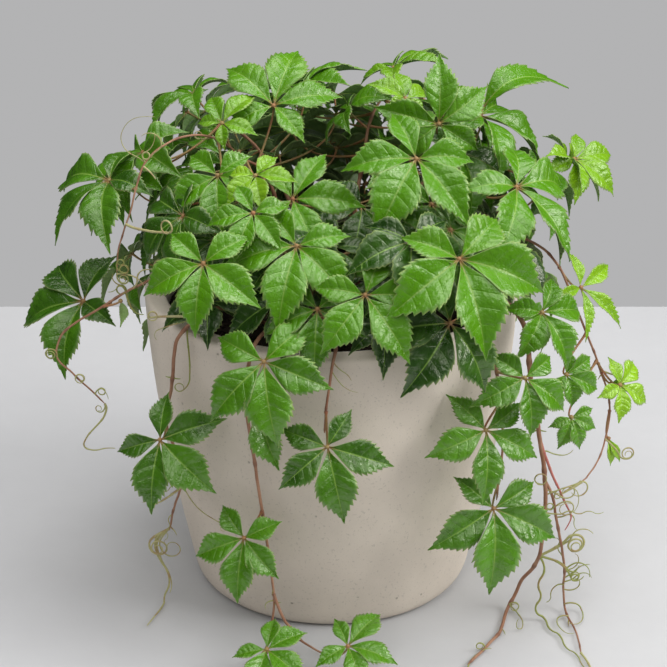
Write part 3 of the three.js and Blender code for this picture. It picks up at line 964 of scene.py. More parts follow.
def stem_tree():
    """A stem along a line of points. It wanders a little, swells at its joints and thins to its tip."""
    inputs = {
        "Geometry": (SHAPE, None),
        "Radius": (NUMBER, 0.0014),
        "Tip Share": (NUMBER, 0.55),
        "Joint Spacing": (NUMBER, 0.034),
        "Swelling": (NUMBER, 0.5),
        "Wobble": (NUMBER, 0.0006),
        "Step": (NUMBER, 0.0016),
        "Sides": (WHOLE, 10),
        "Finish": (FINISH, None),
    }
    draw, given, out = new_group("creeper_stem", "GeometryNodeTree", inputs, {"Geometry": (SHAPE, None)})
    line = draw.made("GeometryNodeMeshToCurve", Mesh=given["Geometry"])
    bent = draw.made("GeometryNodeCurveSplineType", {"spline_type": "CATMULL_ROM"}, Curve=line)
    fine = draw.made("GeometryNodeSetSplineResolution", Geometry=bent, Resolution=10)
    by_length = ("GeometryNodeResampleCurve", {"mode": "LENGTH"})
    evenly = draw.made(*by_length, Curve=fine, Length=given["Step"])
    spot = draw.made("GeometryNodeInputPosition")
    cloud = draw.add("ShaderNodeTexNoise", Vector=spot, Scale=55.0, Detail=1.0)
    drift = draw.vector("SUBTRACT", cloud.outputs["Color"], (0.5, 0.5, 0.5))
    wander = draw.scaled(drift, draw.math("MULTIPLY", given["Wobble"], 3.0))
    along = draw.add("GeometryNodeSplineParameter").outputs
    moved = draw.made("GeometryNodeSetPosition", Geometry=evenly, Offset=wander)
    half = draw.math("MULTIPLY", given["Joint Spacing"], 0.5)
    off_joint = draw.math("PINGPONG", along["Length"], half)
    joint = draw.ramp(off_joint, draw.math("MULTIPLY", given["Radius"], 2.2), 0.0)
    marked = store_named(draw, moved, "stem_joint", joint)
    swell = draw.math("MULTIPLY_ADD", joint, given["Swelling"], 1.0)
    loss = draw.math("SUBTRACT", 1.0, given["Tip Share"])
    lost = draw.math("MULTIPLY", draw.math("POWER", along["Factor"], 1.5), loss)
    taper = draw.math("SUBTRACT", 1.0, lost)
    thick = draw.product(given["Radius"], read_named(draw, "line_share"), taper, swell)
    closing = draw.ramp(along["Factor"], 1.0, 0.985, 0.35, 1.0)
    tube = swept(draw, marked, given["Sides"], draw.math("MULTIPLY", thick, closing))
    draw.feed(out.inputs[0], finished(draw, tube, given["Finish"]))
    return draw.tree


def line_mesh(lines):
    """Open lines as a mesh of edges. Each line is its points, its share of the full radius and its tone."""
    points, edges, shares, tones = [], [], [], []
    for line, share, tone in lines:
        edges += [(len(points) + i, len(points) + i + 1) for i in range(len(line) - 1)]
        points += line
        shares += [share] * len(line)
        tones += [tone] * len(line)
    mesh = bpy.data.meshes.new("line")
    mesh.from_pydata(points, edges, [])
    for name, values in (("line_share", shares), ("line_tone", tones)):
        mesh.attributes.new(name, "FLOAT", "POINT").data.foreach_set("value", values)
    return mesh


TREES = {}


def stem_piece(name, lines, radius, finish, stem, **changes):
    if "stem" not in TREES:
        TREES["stem"] = stem_tree()
    values = {
        "Radius": radius,
        "Tip Share": stem.tip_share,
        "Joint Spacing": stem.node_spacing,
        "Swelling": stem.swelling,
        "Wobble": stem.wobble,
        "Finish": FINISHES[finish],
    }
    values.update({label.replace("_", " "): value for label, value in changes.items()})
    return grown(name, line_mesh(lines), TREES["stem"], values)


# Each vine's radius as a share of the frame's, whose stems are stout
SLIMNESS = {
    "vine_front_runner": 0.75,
    "vine_front_trailing": 0.82,
    "vine_left_arch": 0.62,
    "vine_left_reach": 0.68,
    "vine_right_branch": 0.68,
    "vine_right_long": 1.05,
    "vine_right_outer": 0.72,
}
USUAL_SLIMNESS = 0.84


class CREEPER_OT_stems(bpy.types.Operator):
    """Makes the stems and the trailing vines"""

    bl_idname = "creeper.stems"
    bl_label = "Stems"

    def execute(self, context):
        stem = context.scene.creeper_stem
        for node, (centres, radius) in STEMS.items():
            line = (rooted(node, centres), SLIMNESS.get(node, USUAL_SLIMNESS), 0.0)
            piece = stem_piece(node + "_bark", [line], radius, "bark", stem)
            settle(piece, "stem", node)
        return {"FINISHED"}


SOIL_SHARE = 0.9  # a stem that starts further out than this share of the rim grows from another stem
FORK_RISE = 0.014  # and leaves it this far above its own first point
FORK_STEPS = 4


def rooted(node, centres):
    """A stem's line, drawn from a little way up its parent stem where it doesn't rise from the soil."""
    if centres[0].xy.length < SOIL_SHARE * RIM_RADIUS:
        return centres
    others = []
    for other, (line, _) in STEMS.items():
        if other != node:
            others += fine_line(line, FORK_STEPS)
    above = centres[0] + Vector((0, 0, FORK_RISE))
    return [min(others, key=lambda point: (point - above).length), *centres]


def fine_line(line, steps):
    """A line's points with more of them between, and as many steps to each stretch."""
    return [a.lerp(b, i / steps) for a, b in zip(line, line[1:]) for i in range(steps)] + [line[-1]]


STEM_STEPS = 6
STEM_SPOTS = [spot for line, _ in STEMS.values() for spot in fine_line(line, STEM_STEPS)]
FOOT_REACH = 0.006  # a leaf's stalk ends on a stem's skin, and the visual one ends in the stem's middle


def along_stem(node, share):
    """The point at a share of a stem's length."""
    line = STEMS[node][0]
    lengths = [(b - a).length for a, b in zip(line, line[1:])]
    left = share * sum(lengths)
    for a, b, length in zip(line, line[1:], lengths):
        if left <= length:
            return a.lerp(b, left / length)
        left -= length
    return line[-1].copy()


# ---- Tendrils ----


TIGHTENING = 0.67  # how much of its radius a spiral loses


def ring(radius, turns=1.0):
    """Legs that go round a ring. A negative radius goes round clockwise."""
    return [(2 * math.pi * abs(radius) * turns, math.copysign(360 * turns, radius))]


def spiral(radius, turns):
    """Quarter turns that tighten to a third of the first radius."""
    count = round(4 * turns)
    radii = [abs(radius) * (1 - TIGHTENING * i / count) for i in range(count)]
    return [(math.pi / 2 * r, math.copysign(90, radius)) for r in radii]


def waves(count, length, swing):
    """Legs that sway from side to side."""
    legs = [(length, swing if i % 2 else -swing) for i in range(count)]
    return [(length / 2, swing / 2), *legs]


# A tendril lies this far over the table, and runs outward by so many times what it would sink into it
TABLE_GAP = 0.0018
TABLE_STRETCH = 2.0

# A tendril creeps outward by this share of its length. Its steps are about so many millimetres or degrees
CREEP = 0.08
LONGEST_STEP = 0.9
SHARPEST_STEP = 18
MILLIMETRE = 0.001

# The face that tendrils stay outside, a little off the pot's side: its foot as a share of the rim, and how
# full it is
CLEAR_FOOT = 0.76
CLEAR_BELLY = 1.6
CLEAR_GAP = 0.001
INSIDE_SHARE = 0.7  # nearer the middle than this share of the rim, a tendril is inside the pot


def tendril_line(start, facing, heading, legs):
    """A tendril's points. It sets off at a heading, anticlockwise from the right as seen from outside, in
    the upright plane that faces an azimuth. Each leg is a length in millimetres and the degrees that it
    turns through. It creeps outward all the while, so that its loops pass each other, and runs outward
    where it meets the table."""
    angle = math.radians(facing)
    outward = Vector((math.cos(angle), math.sin(angle), 0))
    right = Vector((-math.sin(angle), math.cos(angle), 0))
    turn = math.radians(heading)
    spot = start.copy()
    points = [spot.copy()]
    for length, degrees in legs:
        steps = max(2, round(length / LONGEST_STEP), round(abs(degrees) / SHARPEST_STEP))
        step = MILLIMETRE * length / steps
        for _ in range(steps):
            turn += math.radians(degrees) / steps
            spot += (right * math.cos(turn) + Vector((0, 0, math.sin(turn))) + outward * CREEP) * step
            spot += outward * max(TABLE_GAP - spot.z, 0) * TABLE_STRETCH
            points.append(kept_clear(spot).copy())
    return points


def kept_clear(spot):
    """Keeps a tendril's point off the pot's side and off the table."""
    reach = spot.xy.length
    share = min(max(spot.z / POT_HEIGHT, 0), 1)
    wall = RIM_RADIUS * (CLEAR_FOOT + (1 - CLEAR_FOOT) * (1 - (1 - share) ** CLEAR_BELLY)) + CLEAR_GAP
    if INSIDE_SHARE * RIM_RADIUS < reach < wall and spot.z < POT_HEIGHT:
        spot.x *= wall / reach
        spot.y *= wall / reach
    spot.z = max(spot.z, TABLE_GAP)
    return spot


# Each tendril is a place along its stem, the azimuth that it faces, its first heading, its legs, its share
# of the full tendril's radius, and its tone: 0 is cream, 1 green and 2 rose.
TENDRILS = {
    "vine_left_arch": [
        (0.5, 262, 200, [(9, -30), *ring(-2.2, 1.3)], 0.8, 0.3),
        (0.71, 262, 120, [(5, -20), *ring(-2.0, 1.2), (14, 60)], 0.9, 0.1),
        (0.71, 262, 135, [(9, 20), (16, -85), (16, -60), (8, -15)], 0.6, 0.2),
        (0.69, 262, 60, [(6, -25), (13, 125), (7, 60)], 0.8, 0.1),
        (0.72, 262, 330, [(10, -25)], 1.3, 0.0),
        (0.87, 232, 350, [(12, 18), (24, 4), *ring(3.6, 1.15)], 1.6, 0.05),
        (0.985, 262, 120, [(6, -80), *ring(-1.6, 1.0)], 1.0, 0.8),
        (0.985, 262, 300, [(5, 50), *ring(2.4, 1.4), (8, -90)], 1.0, 0.7),
        (1.0, 262, 250, [(6, 70), *spiral(3.0, 1.8)], 1.0, 0.5),
        (1.0, 262, 10, [(10, -30), (8, -40)], 1.1, 0.2),
    ],
    "vine_left_reach": [
        (0.39, 235, 40, [(5, -20), *ring(4.7, 1.02)], 1.35, 0.0),
        (0.5, 262, 100, [(7, 60), (8, -90)], 1.0, 0.7),
        (0.5, 262, 60, [(4, 70), *ring(2.6, 1.3), (6, -60)], 1.0, 0.7),
        (0.5, 262, 280, [(9, 10), (9, 80)], 1.3, 0.8),
        (0.48, 262, 30, [(8, 60), (9, -80), (8, 20)], 1.2, 0.0),
        (0.8, 262, 60, [(4, 60), *spiral(3.2, 2.2)], 1.0, 0.6),
        (0.9, 262, 330, [(3, 100), *ring(2.5, 0.95)], 1.2, 0.3),
        (0.96, 262, 80, [(6, -50), *ring(-2.0, 1.2), (6, -40)], 0.9, 0.6),
        (
            1.0, 262, 320,
            [(4, -60), (8, -30), (9, 0), (8, 15), (5, 100), (8, 40), (9, -30)], 1.3, 0.35,
        ),
        (1.0, 262, 290, [(5, -60), *spiral(-2.4, 1.2)], 0.8, 0.6),
    ],
    "vine_left_trailing": [
        (0.26, 262, 175, [(14, 5), (12, 10), (3, -110), *ring(-2.5, 1.0)], 1.6, 0.0),
        (0.27, 262, 190, [(22, 14), (7, 110)], 0.8, 0.3),
        (0.45, 262, 200, [(4, -40)], 0.9, 1.0),
        (0.45, 262, 330, [(5, 40)], 0.9, 1.0),
        (0.3, 265, 275, [(30, -6), (9, -60), *ring(-2.6, 0.9)], 1.1, 0.9),
        (0.78, 262, 262, [(8, -40), (16, -12)], 1.7, 0.05),
        (0.78, 262, 280, [(14, 28), (12, 22), (12, 4), *ring(-1.8, 1.2)], 0.8, 0.1),
        (0.77, 262, 340, [(4, 60), *ring(2.2, 1.2), (6, -70)], 0.8, 0.6),
        (0.8, 262, 160, [(6, 50), *waves(5, 4, 70)], 0.6, 0.4),
        (0.93, 262, 200, [(5, 60), *waves(4, 4, 80)], 0.7, 0.4),
        (1.0, 262, 210, [(7, 0), (6, 12), *spiral(6.0, 2.1)], 1.5, 0.05),
        (1.0, 262, 226, [(9, 14), *spiral(7.4, 1.0), (4, 30)], 1.0, 0.25),
        (
            1.0, 262, 205,
            [(8, 20), (10, 60), (12, 20), (9, -30), (8, -34), (8, 30), (8, -30), (6, 14)], 1.7, 0.2,
        ),
        (1.0, 262, 212, [(9, 24), (9, 50), (13, 16), (9, -26), (7, -30)], 1.3, 0.1),
        (0.99, 262, 330, [(7, -40)], 0.9, 0.1),
    ],
    "vine_front_trailing": [
        (0.84, 270, 130, [(5, -70)], 0.9, 0.8),
        (0.85, 270, 160, [(5, 60), (4, 80)], 0.8, 0.5),
        (0.86, 270, 60, [(5, -60)], 0.8, 0.8),
    ],
    "vine_front_short": [
        (0.5, 270, 190, [(10, 12), (5, 30)], 1.5, 0.0),
        (0.52, 270, 150, [(4, 80), *ring(1.8, 1.2)], 0.8, 0.8),
        (0.55, 270, 330, [(5, 60), *ring(1.6, 1.0)], 0.7, 0.8),
        (0.64, 270, 300, [(9, 30), (6, -40)], 0.7, 0.6),
        (0.68, 270, 290, [(12, 30), (8, 30)], 0.6, 0.6),
    ],
    "vine_right_trailing": [
        (0.45, 275, 320, [(7, -40), (12, -50), (8, 20)], 0.9, 0.3),
        (0.6, 275, 330, [(6, -60), (12, -40)], 0.8, 0.4),
        (0.92, 275, 170, [(4, 40)], 0.8, 0.5),
    ],
    "vine_right_long": [
        (0.42, 275, 210, [(5, -40)], 1.0, 0.9),
        (0.42, 275, 330, [(5, 30)], 1.0, 0.9),
        (0.52, 275, 190, [(6, -50), *ring(-3.4, 1.0)], 1.0, 0.4),
        (0.53, 275, 350, [(10, -30), (6, 60), *ring(3.8, 0.8)], 1.0, 0.3),
        (0.54, 275, 30, [(12, -10), (10, -90), (12, -60)], 0.9, 0.4),
        (0.55, 275, 250, [(5, 60), *ring(2.0, 1.3), (6, -70)], 0.9, 0.7),
        (0.57, 275, 340, [(9, 20), *waves(4, 6, 70)], 0.9, 0.6),
        (0.665, 275, 25, [(14, 12), (6, 22), *spiral(-5.6, 2.4)], 1.7, 0.4),
        (0.665, 275, 22, [(19, 16), (5, 40), (7, -70), (8, -60)], 1.2, 0.3),
        (0.665, 275, 305, [(8, -20), (8, -50), (9, 60), (8, -64), (7, 70), *waves(6, 6, 74)], 1.5, 0.8),
        (0.665, 275, 340, [(9, 0), (9, -30), (8, -20), *ring(2.2, 1.2), (6, 60)], 1.5, 0.75),
        (0.665, 275, 338, [(10, 6), (10, -40), (5, 60), *ring(-2.6, 0.9), (7, 40)], 1.1, 0.75),
        (0.43, 275, 284, [(31, 10), (22, 2), (6, -50), (6, -10)], 1.9, 2.0),
        (0.46, 275, 30, [(5, -60), (8, 30), (7, 60)], 0.9, 0.6),
        (0.8, 275, 70, [(5, -90), *ring(-2.6, 1.1)], 0.9, 0.6),
        (0.8, 275, 320, [(9, -25), (6, -60), (5, -130), (6, -40)], 0.9, 0.6),
        (0.87, 275, 330, [(4, -60)], 0.9, 0.6),
        (0.94, 275, 80, [(5, 70), *ring(1.9, 1.1)], 0.9, 0.6),
        (0.95, 275, 50, [(6, -60)], 0.8, 0.5),
        (0.96, 275, 200, [(10, 30), (12, 20)], 1.3, 0.8),
    ],
    "vine_right_branch": [
        (0.05, 275, 60, [(8, -50), *ring(-4.2, 1.1)], 1.0, 0.2),
        (0.1, 275, 350, [(6, 40), (8, -130), (6, 50)], 1.0, 0.6),
        (0.34, 275, 100, [(6, 30), (7, -60), (5, 90)], 0.9, 0.8),
        (0.42, 275, 60, [(8, -30), (7, -70), (9, -60)], 1.0, 0.85),
        (0.46, 275, 100, [(7, -80), (9, 70), (5, 60)], 0.9, 0.8),
        (0.47, 275, 30, [(10, 20), (8, -50)], 1.0, 0.85),
        (0.5, 275, 10, [(9, 40), (6, -60), (5, -60)], 0.9, 0.8),
        (0.52, 275, 150, [(6, 70), (7, 60), (5, -90)], 0.9, 0.85),
        (0.55, 275, 330, [(8, 60), (7, 90), (6, 110)], 0.9, 0.7),
        (0.62, 275, 30, [(7, -50), (8, -80), (8, -70), (5, -40)], 1.0, 0.7),
        (0.7, 275, 140, [(6, 70), (9, 110), (6, 60)], 0.9, 0.6),
        (0.72, 275, 220, [(4, 40)], 0.9, 0.9),
        (1.0, 275, 300, [(12, -30), (10, -20)], 1.5, 0.3),
    ],
    "vine_right_outer": [
        (0.67, 280, 340, [(10, -5)], 1.6, 0.2),
        (0.83, 280, 318, [(10, -8), (5, -20), *spiral(4.6, 1.9)], 1.2, 0.3),
        (0.68, 280, 200, [(4, 60)], 0.9, 0.4),
        (1.0, 280, 20, [(4, -80), (8, -90), (8, -90)], 1.1, 0.3),
        (1.0, 280, 215, [(16, -12)], 2.0, 0.15),
        (1.0, 280, 200, [(14, -10), (5, 70), *ring(2.0, 1.1)], 0.9, 0.5),
    ],
    "vine_back_left": [
        (0.7, 120, 20, [(6, -60), *ring(-3.2, 1.2)], 1.0, 0.4),
        (1.0, 120, 265, [(8, 40), *waves(4, 8, 60), *spiral(4.0, 1.6)], 1.0, 0.4),
    ],
    "vine_back_right": [
        (0.72, 50, 160, [(6, 60), *ring(3.4, 1.1)], 1.0, 0.3),
        (1.0, 50, 275, [(8, -40), *waves(5, 8, 60)], 1.0, 0.5),
        (0.98, 50, 330, [(6, 60), *spiral(3.6, 1.8)], 0.9, 0.6),
    ],
}


class CREEPER_OT_tendrils(bpy.types.Operator):
    """Makes the curling tendrils on each trailing vine"""

    bl_idname = "creeper.tendrils"
    bl_label = "Tendrils"

    def execute(self, context):
        stem = context.scene.creeper_stem
        for node, rows in TENDRILS.items():
            lines = []
            for share, facing, heading, legs, thickness, tone in rows:
                start = along_stem(node, share)
                lines.append((tendril_line(start, facing, heading, legs), thickness, tone))
            piece = stem_piece(
                node + "_tendrils", lines, stem.tendril_radius, "tendril", stem,
                Swelling=0.25, Joint_Spacing=0.011, Wobble=0.0004, Tip_Share=0.4, Step=0.0007, Sides=6,
            )
            settle(piece, "tendril")
        return {"FINISHED"}


# ---- Leaves ----


# A leaflet's half width along its length, both from 0 to 1
LEAFLET_OUTLINE = [
    (0, 0.02), (0.05, 0.07), (0.11, 0.3), (0.19, 0.66), (0.29, 0.93), (0.38, 1),
    (0.49, 0.93), (0.61, 0.74), (0.73, 0.49), (0.84, 0.25), (0.93, 0.09), (1, 0),
]


def leaflet_group():
    """Where a leaflet's surface lies, from its own places along (0 to 1) and across (-1 to 1)."""
    inputs = {
        "Width": (NUMBER, 0.235),
        "Slant": (NUMBER, 0.75),
        "Fold": (NUMBER, 0.3),
        "Arch": (NUMBER, 0.07),
        "Droop": (NUMBER, 0.16),
        "Curl": (NUMBER, 0.8),
        "Roll": (NUMBER, 0.25),
        "Wave": (NUMBER, 0.02),
        "Teeth": (NUMBER, 12.0),
        "Tooth Depth": (NUMBER, 0.034),
        "Veins": (NUMBER, 6.0),
        "Relief": (NUMBER, 0.011),
    }
    draw, given, out = new_group("leaflet_surface", "GeometryNodeTree", inputs, {"Position": (ARROW, None)})
    run, side, chance = draw.parts(read_named(draw, "leaf_place", "FLOAT_VECTOR"))
    reach = draw.math("ABSOLUTE", side)
    outline = draw.curve(run, LEAFLET_OUTLINE)
    fuller = draw.math("MULTIPLY_ADD", chance, 0.16, 0.92)
    half = draw.product(given["Width"], outline, fuller)
    toothed = draw.math("MULTIPLY", draw.ramp(run, 0.1, 0.3), draw.ramp(run, 1.0, 0.7, 0.12, 1.0))
    tooth_run = draw.math("MULTIPLY", run, given["Teeth"])
    tooth = draw.math("FRACT", tooth_run)
    here = draw.made("ShaderNodeCombineXYZ", X=tooth_run, Y=chance, Z=side)
    stretched = draw.vector("MULTIPLY", here, (0.8, 40.0, 1.5))
    uneven = draw.made("ShaderNodeTexNoise", Vector=stretched, Scale=1.0)
    bite = draw.math("MULTIPLY_ADD", uneven, 2.4, -0.2)
    deep = draw.math("MULTIPLY", bite, given["Tooth Depth"])
    jag = draw.math("MULTIPLY", draw.math("SUBTRACT", tooth, 0.35), deep)
    edge_only = draw.math("POWER", reach, 5.0)
    jagged = draw.product(jag, toothed, edge_only)
    out_to = draw.math("MULTIPLY_ADD", half, reach, jagged)
    across = draw.math("MULTIPLY", out_to, draw.math("SIGN", side))
    lean = draw.math("MULTIPLY", given["Slant"], draw.math("MULTIPLY_ADD", run, -0.45, 1.0))
    forward = draw.math("MULTIPLY_ADD", out_to, lean, run)
    ahead = draw.math("MULTIPLY_ADD", jagged, 0.7, forward)
    arch = draw.math("MULTIPLY", draw.math("SINE", draw.math("MULTIPLY", ahead, math.pi)), given["Arch"])
    sag = draw.math("MULTIPLY", given["Droop"], draw.math("MULTIPLY_ADD", chance, 0.5, 0.75))
    droop = draw.math("MULTIPLY", draw.math("POWER", ahead, 2.4), sag)
    fold = draw.math("MULTIPLY", given["Fold"], out_to)
    curl = draw.math("MULTIPLY", given["Curl"], draw.math("MULTIPLY", out_to, out_to))
    turns = draw.math("MULTIPLY_ADD", run, 15.0, draw.math("MULTIPLY", chance, 40.0))
    sway = draw.math("SINE", draw.math("MULTIPLY_ADD", side, 0.9, turns))
    wave = draw.product(sway, given["Wave"], draw.math("POWER", reach, 2.0))
    vein_turn = draw.product(run, given["Veins"], math.pi)
    swell = draw.math("ABSOLUTE", draw.math("SINE", vein_turn))
    between = draw.math("MULTIPLY", draw.math("POWER", swell, 0.7), draw.math("SUBTRACT", 1.15, reach))
    relief = draw.math("MULTIPLY", given["Relief"], 3.0)
    puff = draw.product(between, reach, relief, outline)
    lot = draw.math("FRACT", draw.math("MULTIPLY", chance, 7.3))
    roll = draw.math("MULTIPLY", draw.math("MULTIPLY_ADD", lot, 2.0, -1.0), given["Roll"])
    rolled = draw.math("MULTIPLY", across, roll)
    rise = arch
    for lift in (fold, wave, puff, rolled):
        rise = draw.math("ADD", rise, lift)
    for fall in (droop, curl):
        rise = draw.math("SUBTRACT", rise, fall)
    arrow = read_named(draw, "leaf_arrow", "FLOAT_VECTOR")
    face = read_named(draw, "leaf_face", "FLOAT_VECTOR")
    length = draw.vector("LENGTH", arrow)
    sideways = draw.vector("CROSS_PRODUCT", face, arrow)
    upward = draw.scaled(face, draw.math("MULTIPLY", length, rise))
    position = draw.vector("ADD", read_named(draw, "leaf_hub", "FLOAT_VECTOR"), draw.scaled(arrow, ahead))
    position = draw.vector("ADD", position, draw.scaled(sideways, across))
    draw.feed(out.inputs[0], draw.vector("ADD", position, upward))
    return draw.tree


def leaf_tree(surface):
    """A whole leaf from one point for each leaflet: closed blades, raised midribs, its hub and stalk."""
    given_shape = [item for item in surface.interface.items_tree if item.in_out == "INPUT"]
    shape_inputs = {item.name: (NUMBER, item.default_value) for item in given_shape}
    inputs = {
        "Geometry": (SHAPE, None),
        **shape_inputs,
        "Rows": (WHOLE, 49),
        "Columns": (WHOLE, 11),
        "Thickness": (NUMBER, 0.0003),
        "Rib": (NUMBER, 0.011),
        "Tone": (NUMBER, 0.5),
        "Stalk Foot": (ARROW, None),
        "Stalk Bend": (ARROW, None),
        "Hub": (ARROW, None),
        "Stalk Radius": (NUMBER, 0.0008),
        "Blade Finish": (FINISH, None),
        "Rib Finish": (FINISH, None),
        "Stalk Finish": (FINISH, None),
    }
    draw, given, out = new_group("creeper_leaf", "GeometryNodeTree", inputs, {"Geometry": (SHAPE, None)})

    def laid(strip):
        """Puts one strip at every leaflet and moves it onto the leaflet's surface."""
        copies = draw.made("GeometryNodeInstanceOnPoints", Points=given["Geometry"], Instance=strip)
        plain = draw.made("GeometryNodeRealizeInstances", Geometry=copies)
        run, side, _ = draw.parts(read_named(draw, "strip_place", "FLOAT_VECTOR"))
        own = draw.made("ShaderNodeCombineXYZ", X=run, Y=side, Z=read_named(draw, "leaf_chance"))
        placed = store_named(draw, plain, "leaf_place", own, "FLOAT_VECTOR")
        where = draw.add("GeometryNodeGroup", {"node_tree": surface})
        for label in shape_inputs:
            draw.feed(where.inputs[label], given[label])
        return draw.made("GeometryNodeSetPosition", Geometry=placed, Position=where.outputs[0])

    spot = draw.made("GeometryNodeInputPosition")
    rows, columns = given["Rows"], given["Columns"]
    sheet = draw.made("GeometryNodeMeshGrid", Size_X=1.0, Size_Y=2.0, Vertices_X=rows, Vertices_Y=columns)
    sheet_place = draw.vector("ADD", spot, (0.5, 0.0, 0.0))
    upper = laid(store_named(draw, sheet, "strip_place", sheet_place, "FLOAT_VECTOR"))
    thickened = draw.add("GeometryNodeExtrudeMesh", Mesh=upper, Individual=False)
    draw.feed(thickened.inputs["Offset Scale"], draw.math("MULTIPLY", given["Thickness"], -1.0))
    lower = draw.made("GeometryNodeFlipFaces", Mesh=thickened.outputs["Mesh"])
    top = store_named(draw, upper, "leaf_under", 0.0)
    underside = store_named(draw, lower, "leaf_under", 1.0)
    sides = joined(draw, top, underside)
    closed = draw.made("GeometryNodeMergeByDistance", Geometry=sides, Distance=0.00001)
    tone = draw.math("ADD", given["Tone"], read_named(draw, "leaf_shift"))
    blades = finished(draw, store_named(draw, closed, "leaf_tone", tone), given["Blade Finish"])

    between_ends = ("GeometryNodeMeshLine", {"mode": "END_POINTS"})
    bar = draw.made(*between_ends, Count=15, Offset=(0.97, 0.0, 0.0))
    ribs = laid(store_named(draw, bar, "strip_place", spot, "FLOAT_VECTOR"))
    rib_line = draw.made("GeometryNodeMeshToCurve", Mesh=ribs)
    along = draw.add("GeometryNodeSplineParameter").outputs["Factor"]
    length = draw.vector("LENGTH", read_named(draw, "leaf_arrow", "FLOAT_VECTOR"))
    rib_radius = draw.product(length, given["Rib"], draw.ramp(along, 0.0, 1.0, 1.0, 0.25))
    face = read_named(draw, "leaf_face", "FLOAT_VECTOR")
    sunk = draw.scaled(face, draw.math("MULTIPLY", rib_radius, -0.55))
    lowered = draw.made("GeometryNodeSetPosition", Geometry=rib_line, Offset=sunk)
    rib_tubes = finished(draw, swept(draw, lowered, 6, rib_radius), given["Rib Finish"])

    bezier = draw.add("GeometryNodeCurveQuadraticBezier", Resolution=18)
    for label, value in (("Start", "Stalk Foot"), ("Middle", "Stalk Bend"), ("End", "Hub")):
        draw.feed(bezier.inputs[label], given[value])
    foot_swell = draw.ramp(along, 0.1, 0.0, 0.0, 0.6)
    hub_swell = draw.ramp(along, 0.9, 1.0, 0.0, 0.35)
    thinning = draw.math("MULTIPLY_ADD", along, -0.25, 0.95)
    stalk_scale = draw.math("ADD", draw.math("ADD", foot_swell, hub_swell), thinning)
    joint_marked = store_named(draw, bezier.outputs[0], "stem_joint", foot_swell)
    stalk_tube = swept(draw, joint_marked, 8, draw.math("MULTIPLY", stalk_scale, given["Stalk Radius"]))
    knob_radius = draw.math("MULTIPLY", given["Stalk Radius"], 1.7)
    knob = draw.made("GeometryNodeMeshIcoSphere", Radius=knob_radius, Subdivisions=2)
    at_hub = draw.made("GeometryNodeTransform", Geometry=knob, Translation=given["Hub"])
    stalk = finished(draw, joined(draw, stalk_tube, at_hub), given["Stalk Finish"])
    draw.feed(out.inputs[0], joined(draw, blades, rib_tubes, stalk))
    return draw.tree


def leaf_seed(hub, face, arrows, chances):
    """One point for each leaflet, with what the leaf tree reads from it."""
    mesh = bpy.data.meshes.new("leaflets")
    mesh.from_pydata([hub] * len(arrows), [], [])
    vectors = {"leaf_hub": [hub] * len(arrows), "leaf_face": [face] * len(arrows), "leaf_arrow": arrows}
    for name, values in vectors.items():
        made = mesh.attributes.new(name, "FLOAT_VECTOR", "POINT")
        made.data.foreach_set("vector", [number for value in values for number in value])
    numbers = {"leaf_chance": chances, "leaf_shift": [LEAFLET_SHIFT * (chance - 0.5) for chance in chances]}
    for name, values in numbers.items():
        mesh.attributes.new(name, "FLOAT", "POINT").data.foreach_set("value", values)
    return mesh


# The leaves that bend in a way of their own
LEAF_BENDS = {"leaf_top_arch": {"Arch": 0.21, "Droop": 0.66, "Fold": 0.6, "Curl": 0.9}}

# A leaf whose hub is lower than this lies on the table and droops less
ON_TABLE = 0.02
TABLE_DROOP = 0.3

STALK_BEND = 0.4  # how far a stalk comes up from behind its leaf, as a share of its length
HUB_LIFT = 0.0001
LEAFLET_SHIFT = 0.14  # how far apart the tones of one leaf's leaflets may be


def leaf_piece(name, hub, face, arrows, foot, tone, scene, fine=True):
    """Makes one leaf. Its bends, curls and widths come from a random number seeded by its name."""
    if "leaf" not in TREES:
        TREES["leaf"] = leaf_tree(leaflet_group())
    leaf, stem = scene.creeper_leaf, scene.creeper_stem
    pick = random.Random(name)
    distance = (hub - foot).length
    values = {
        "Width": leaf.width * pick.uniform(0.94, 1.06) * LEAF_WIDTHS.get(name.removesuffix("_blades"), 1.0),
        "Fold": pick.uniform(0.5, 0.85),
        "Arch": pick.uniform(0.05, 0.12),
        "Droop": pick.uniform(0.16, 0.3) * (TABLE_DROOP if hub.z < ON_TABLE else 1.0),
        "Curl": pick.uniform(0.7, 1.7),
        "Wave": pick.uniform(0.008, 0.022),
        "Teeth": float(leaf.teeth),
        "Tooth Depth": leaf.tooth_depth,
        "Veins": float(leaf.veins),
        "Relief": leaf.relief,
        "Rows": 4 * leaf.teeth + 1 if fine else 2 * leaf.teeth + 1,
        "Columns": 11 if fine else 7,
        "Thickness": leaf.thickness,
        "Tone": tone,
        "Stalk Foot": foot,
        "Stalk Bend": hub - face * STALK_BEND * distance,
        "Hub": hub + face * HUB_LIFT,
        "Stalk Radius": stem.stalk_radius,
        "Blade Finish": FINISHES["blade"],
        "Rib Finish": FINISHES["rib"],
        "Stalk Finish": FINISHES["stalk"],
    }
    values.update(LEAF_BENDS.get(name, {}))
    chances = [pick.random() for _ in arrows]
    return grown(name, leaf_seed(hub, face, arrows, chances), TREES["leaf"], values)


# How light each group of leaves is, from 0 for the inner ones in painted shade to 1 for the youngest. Tones
# under a half are painted shade
GROUP_TONES = {
    "back": 0.42,
    "crown": 0.5,
    "front": 0.55,
    "ground": 0.5,
    "inner": 0.12,
    "left": 0.22,
    "right": 0.52,
    "trailing": 0.38,
}
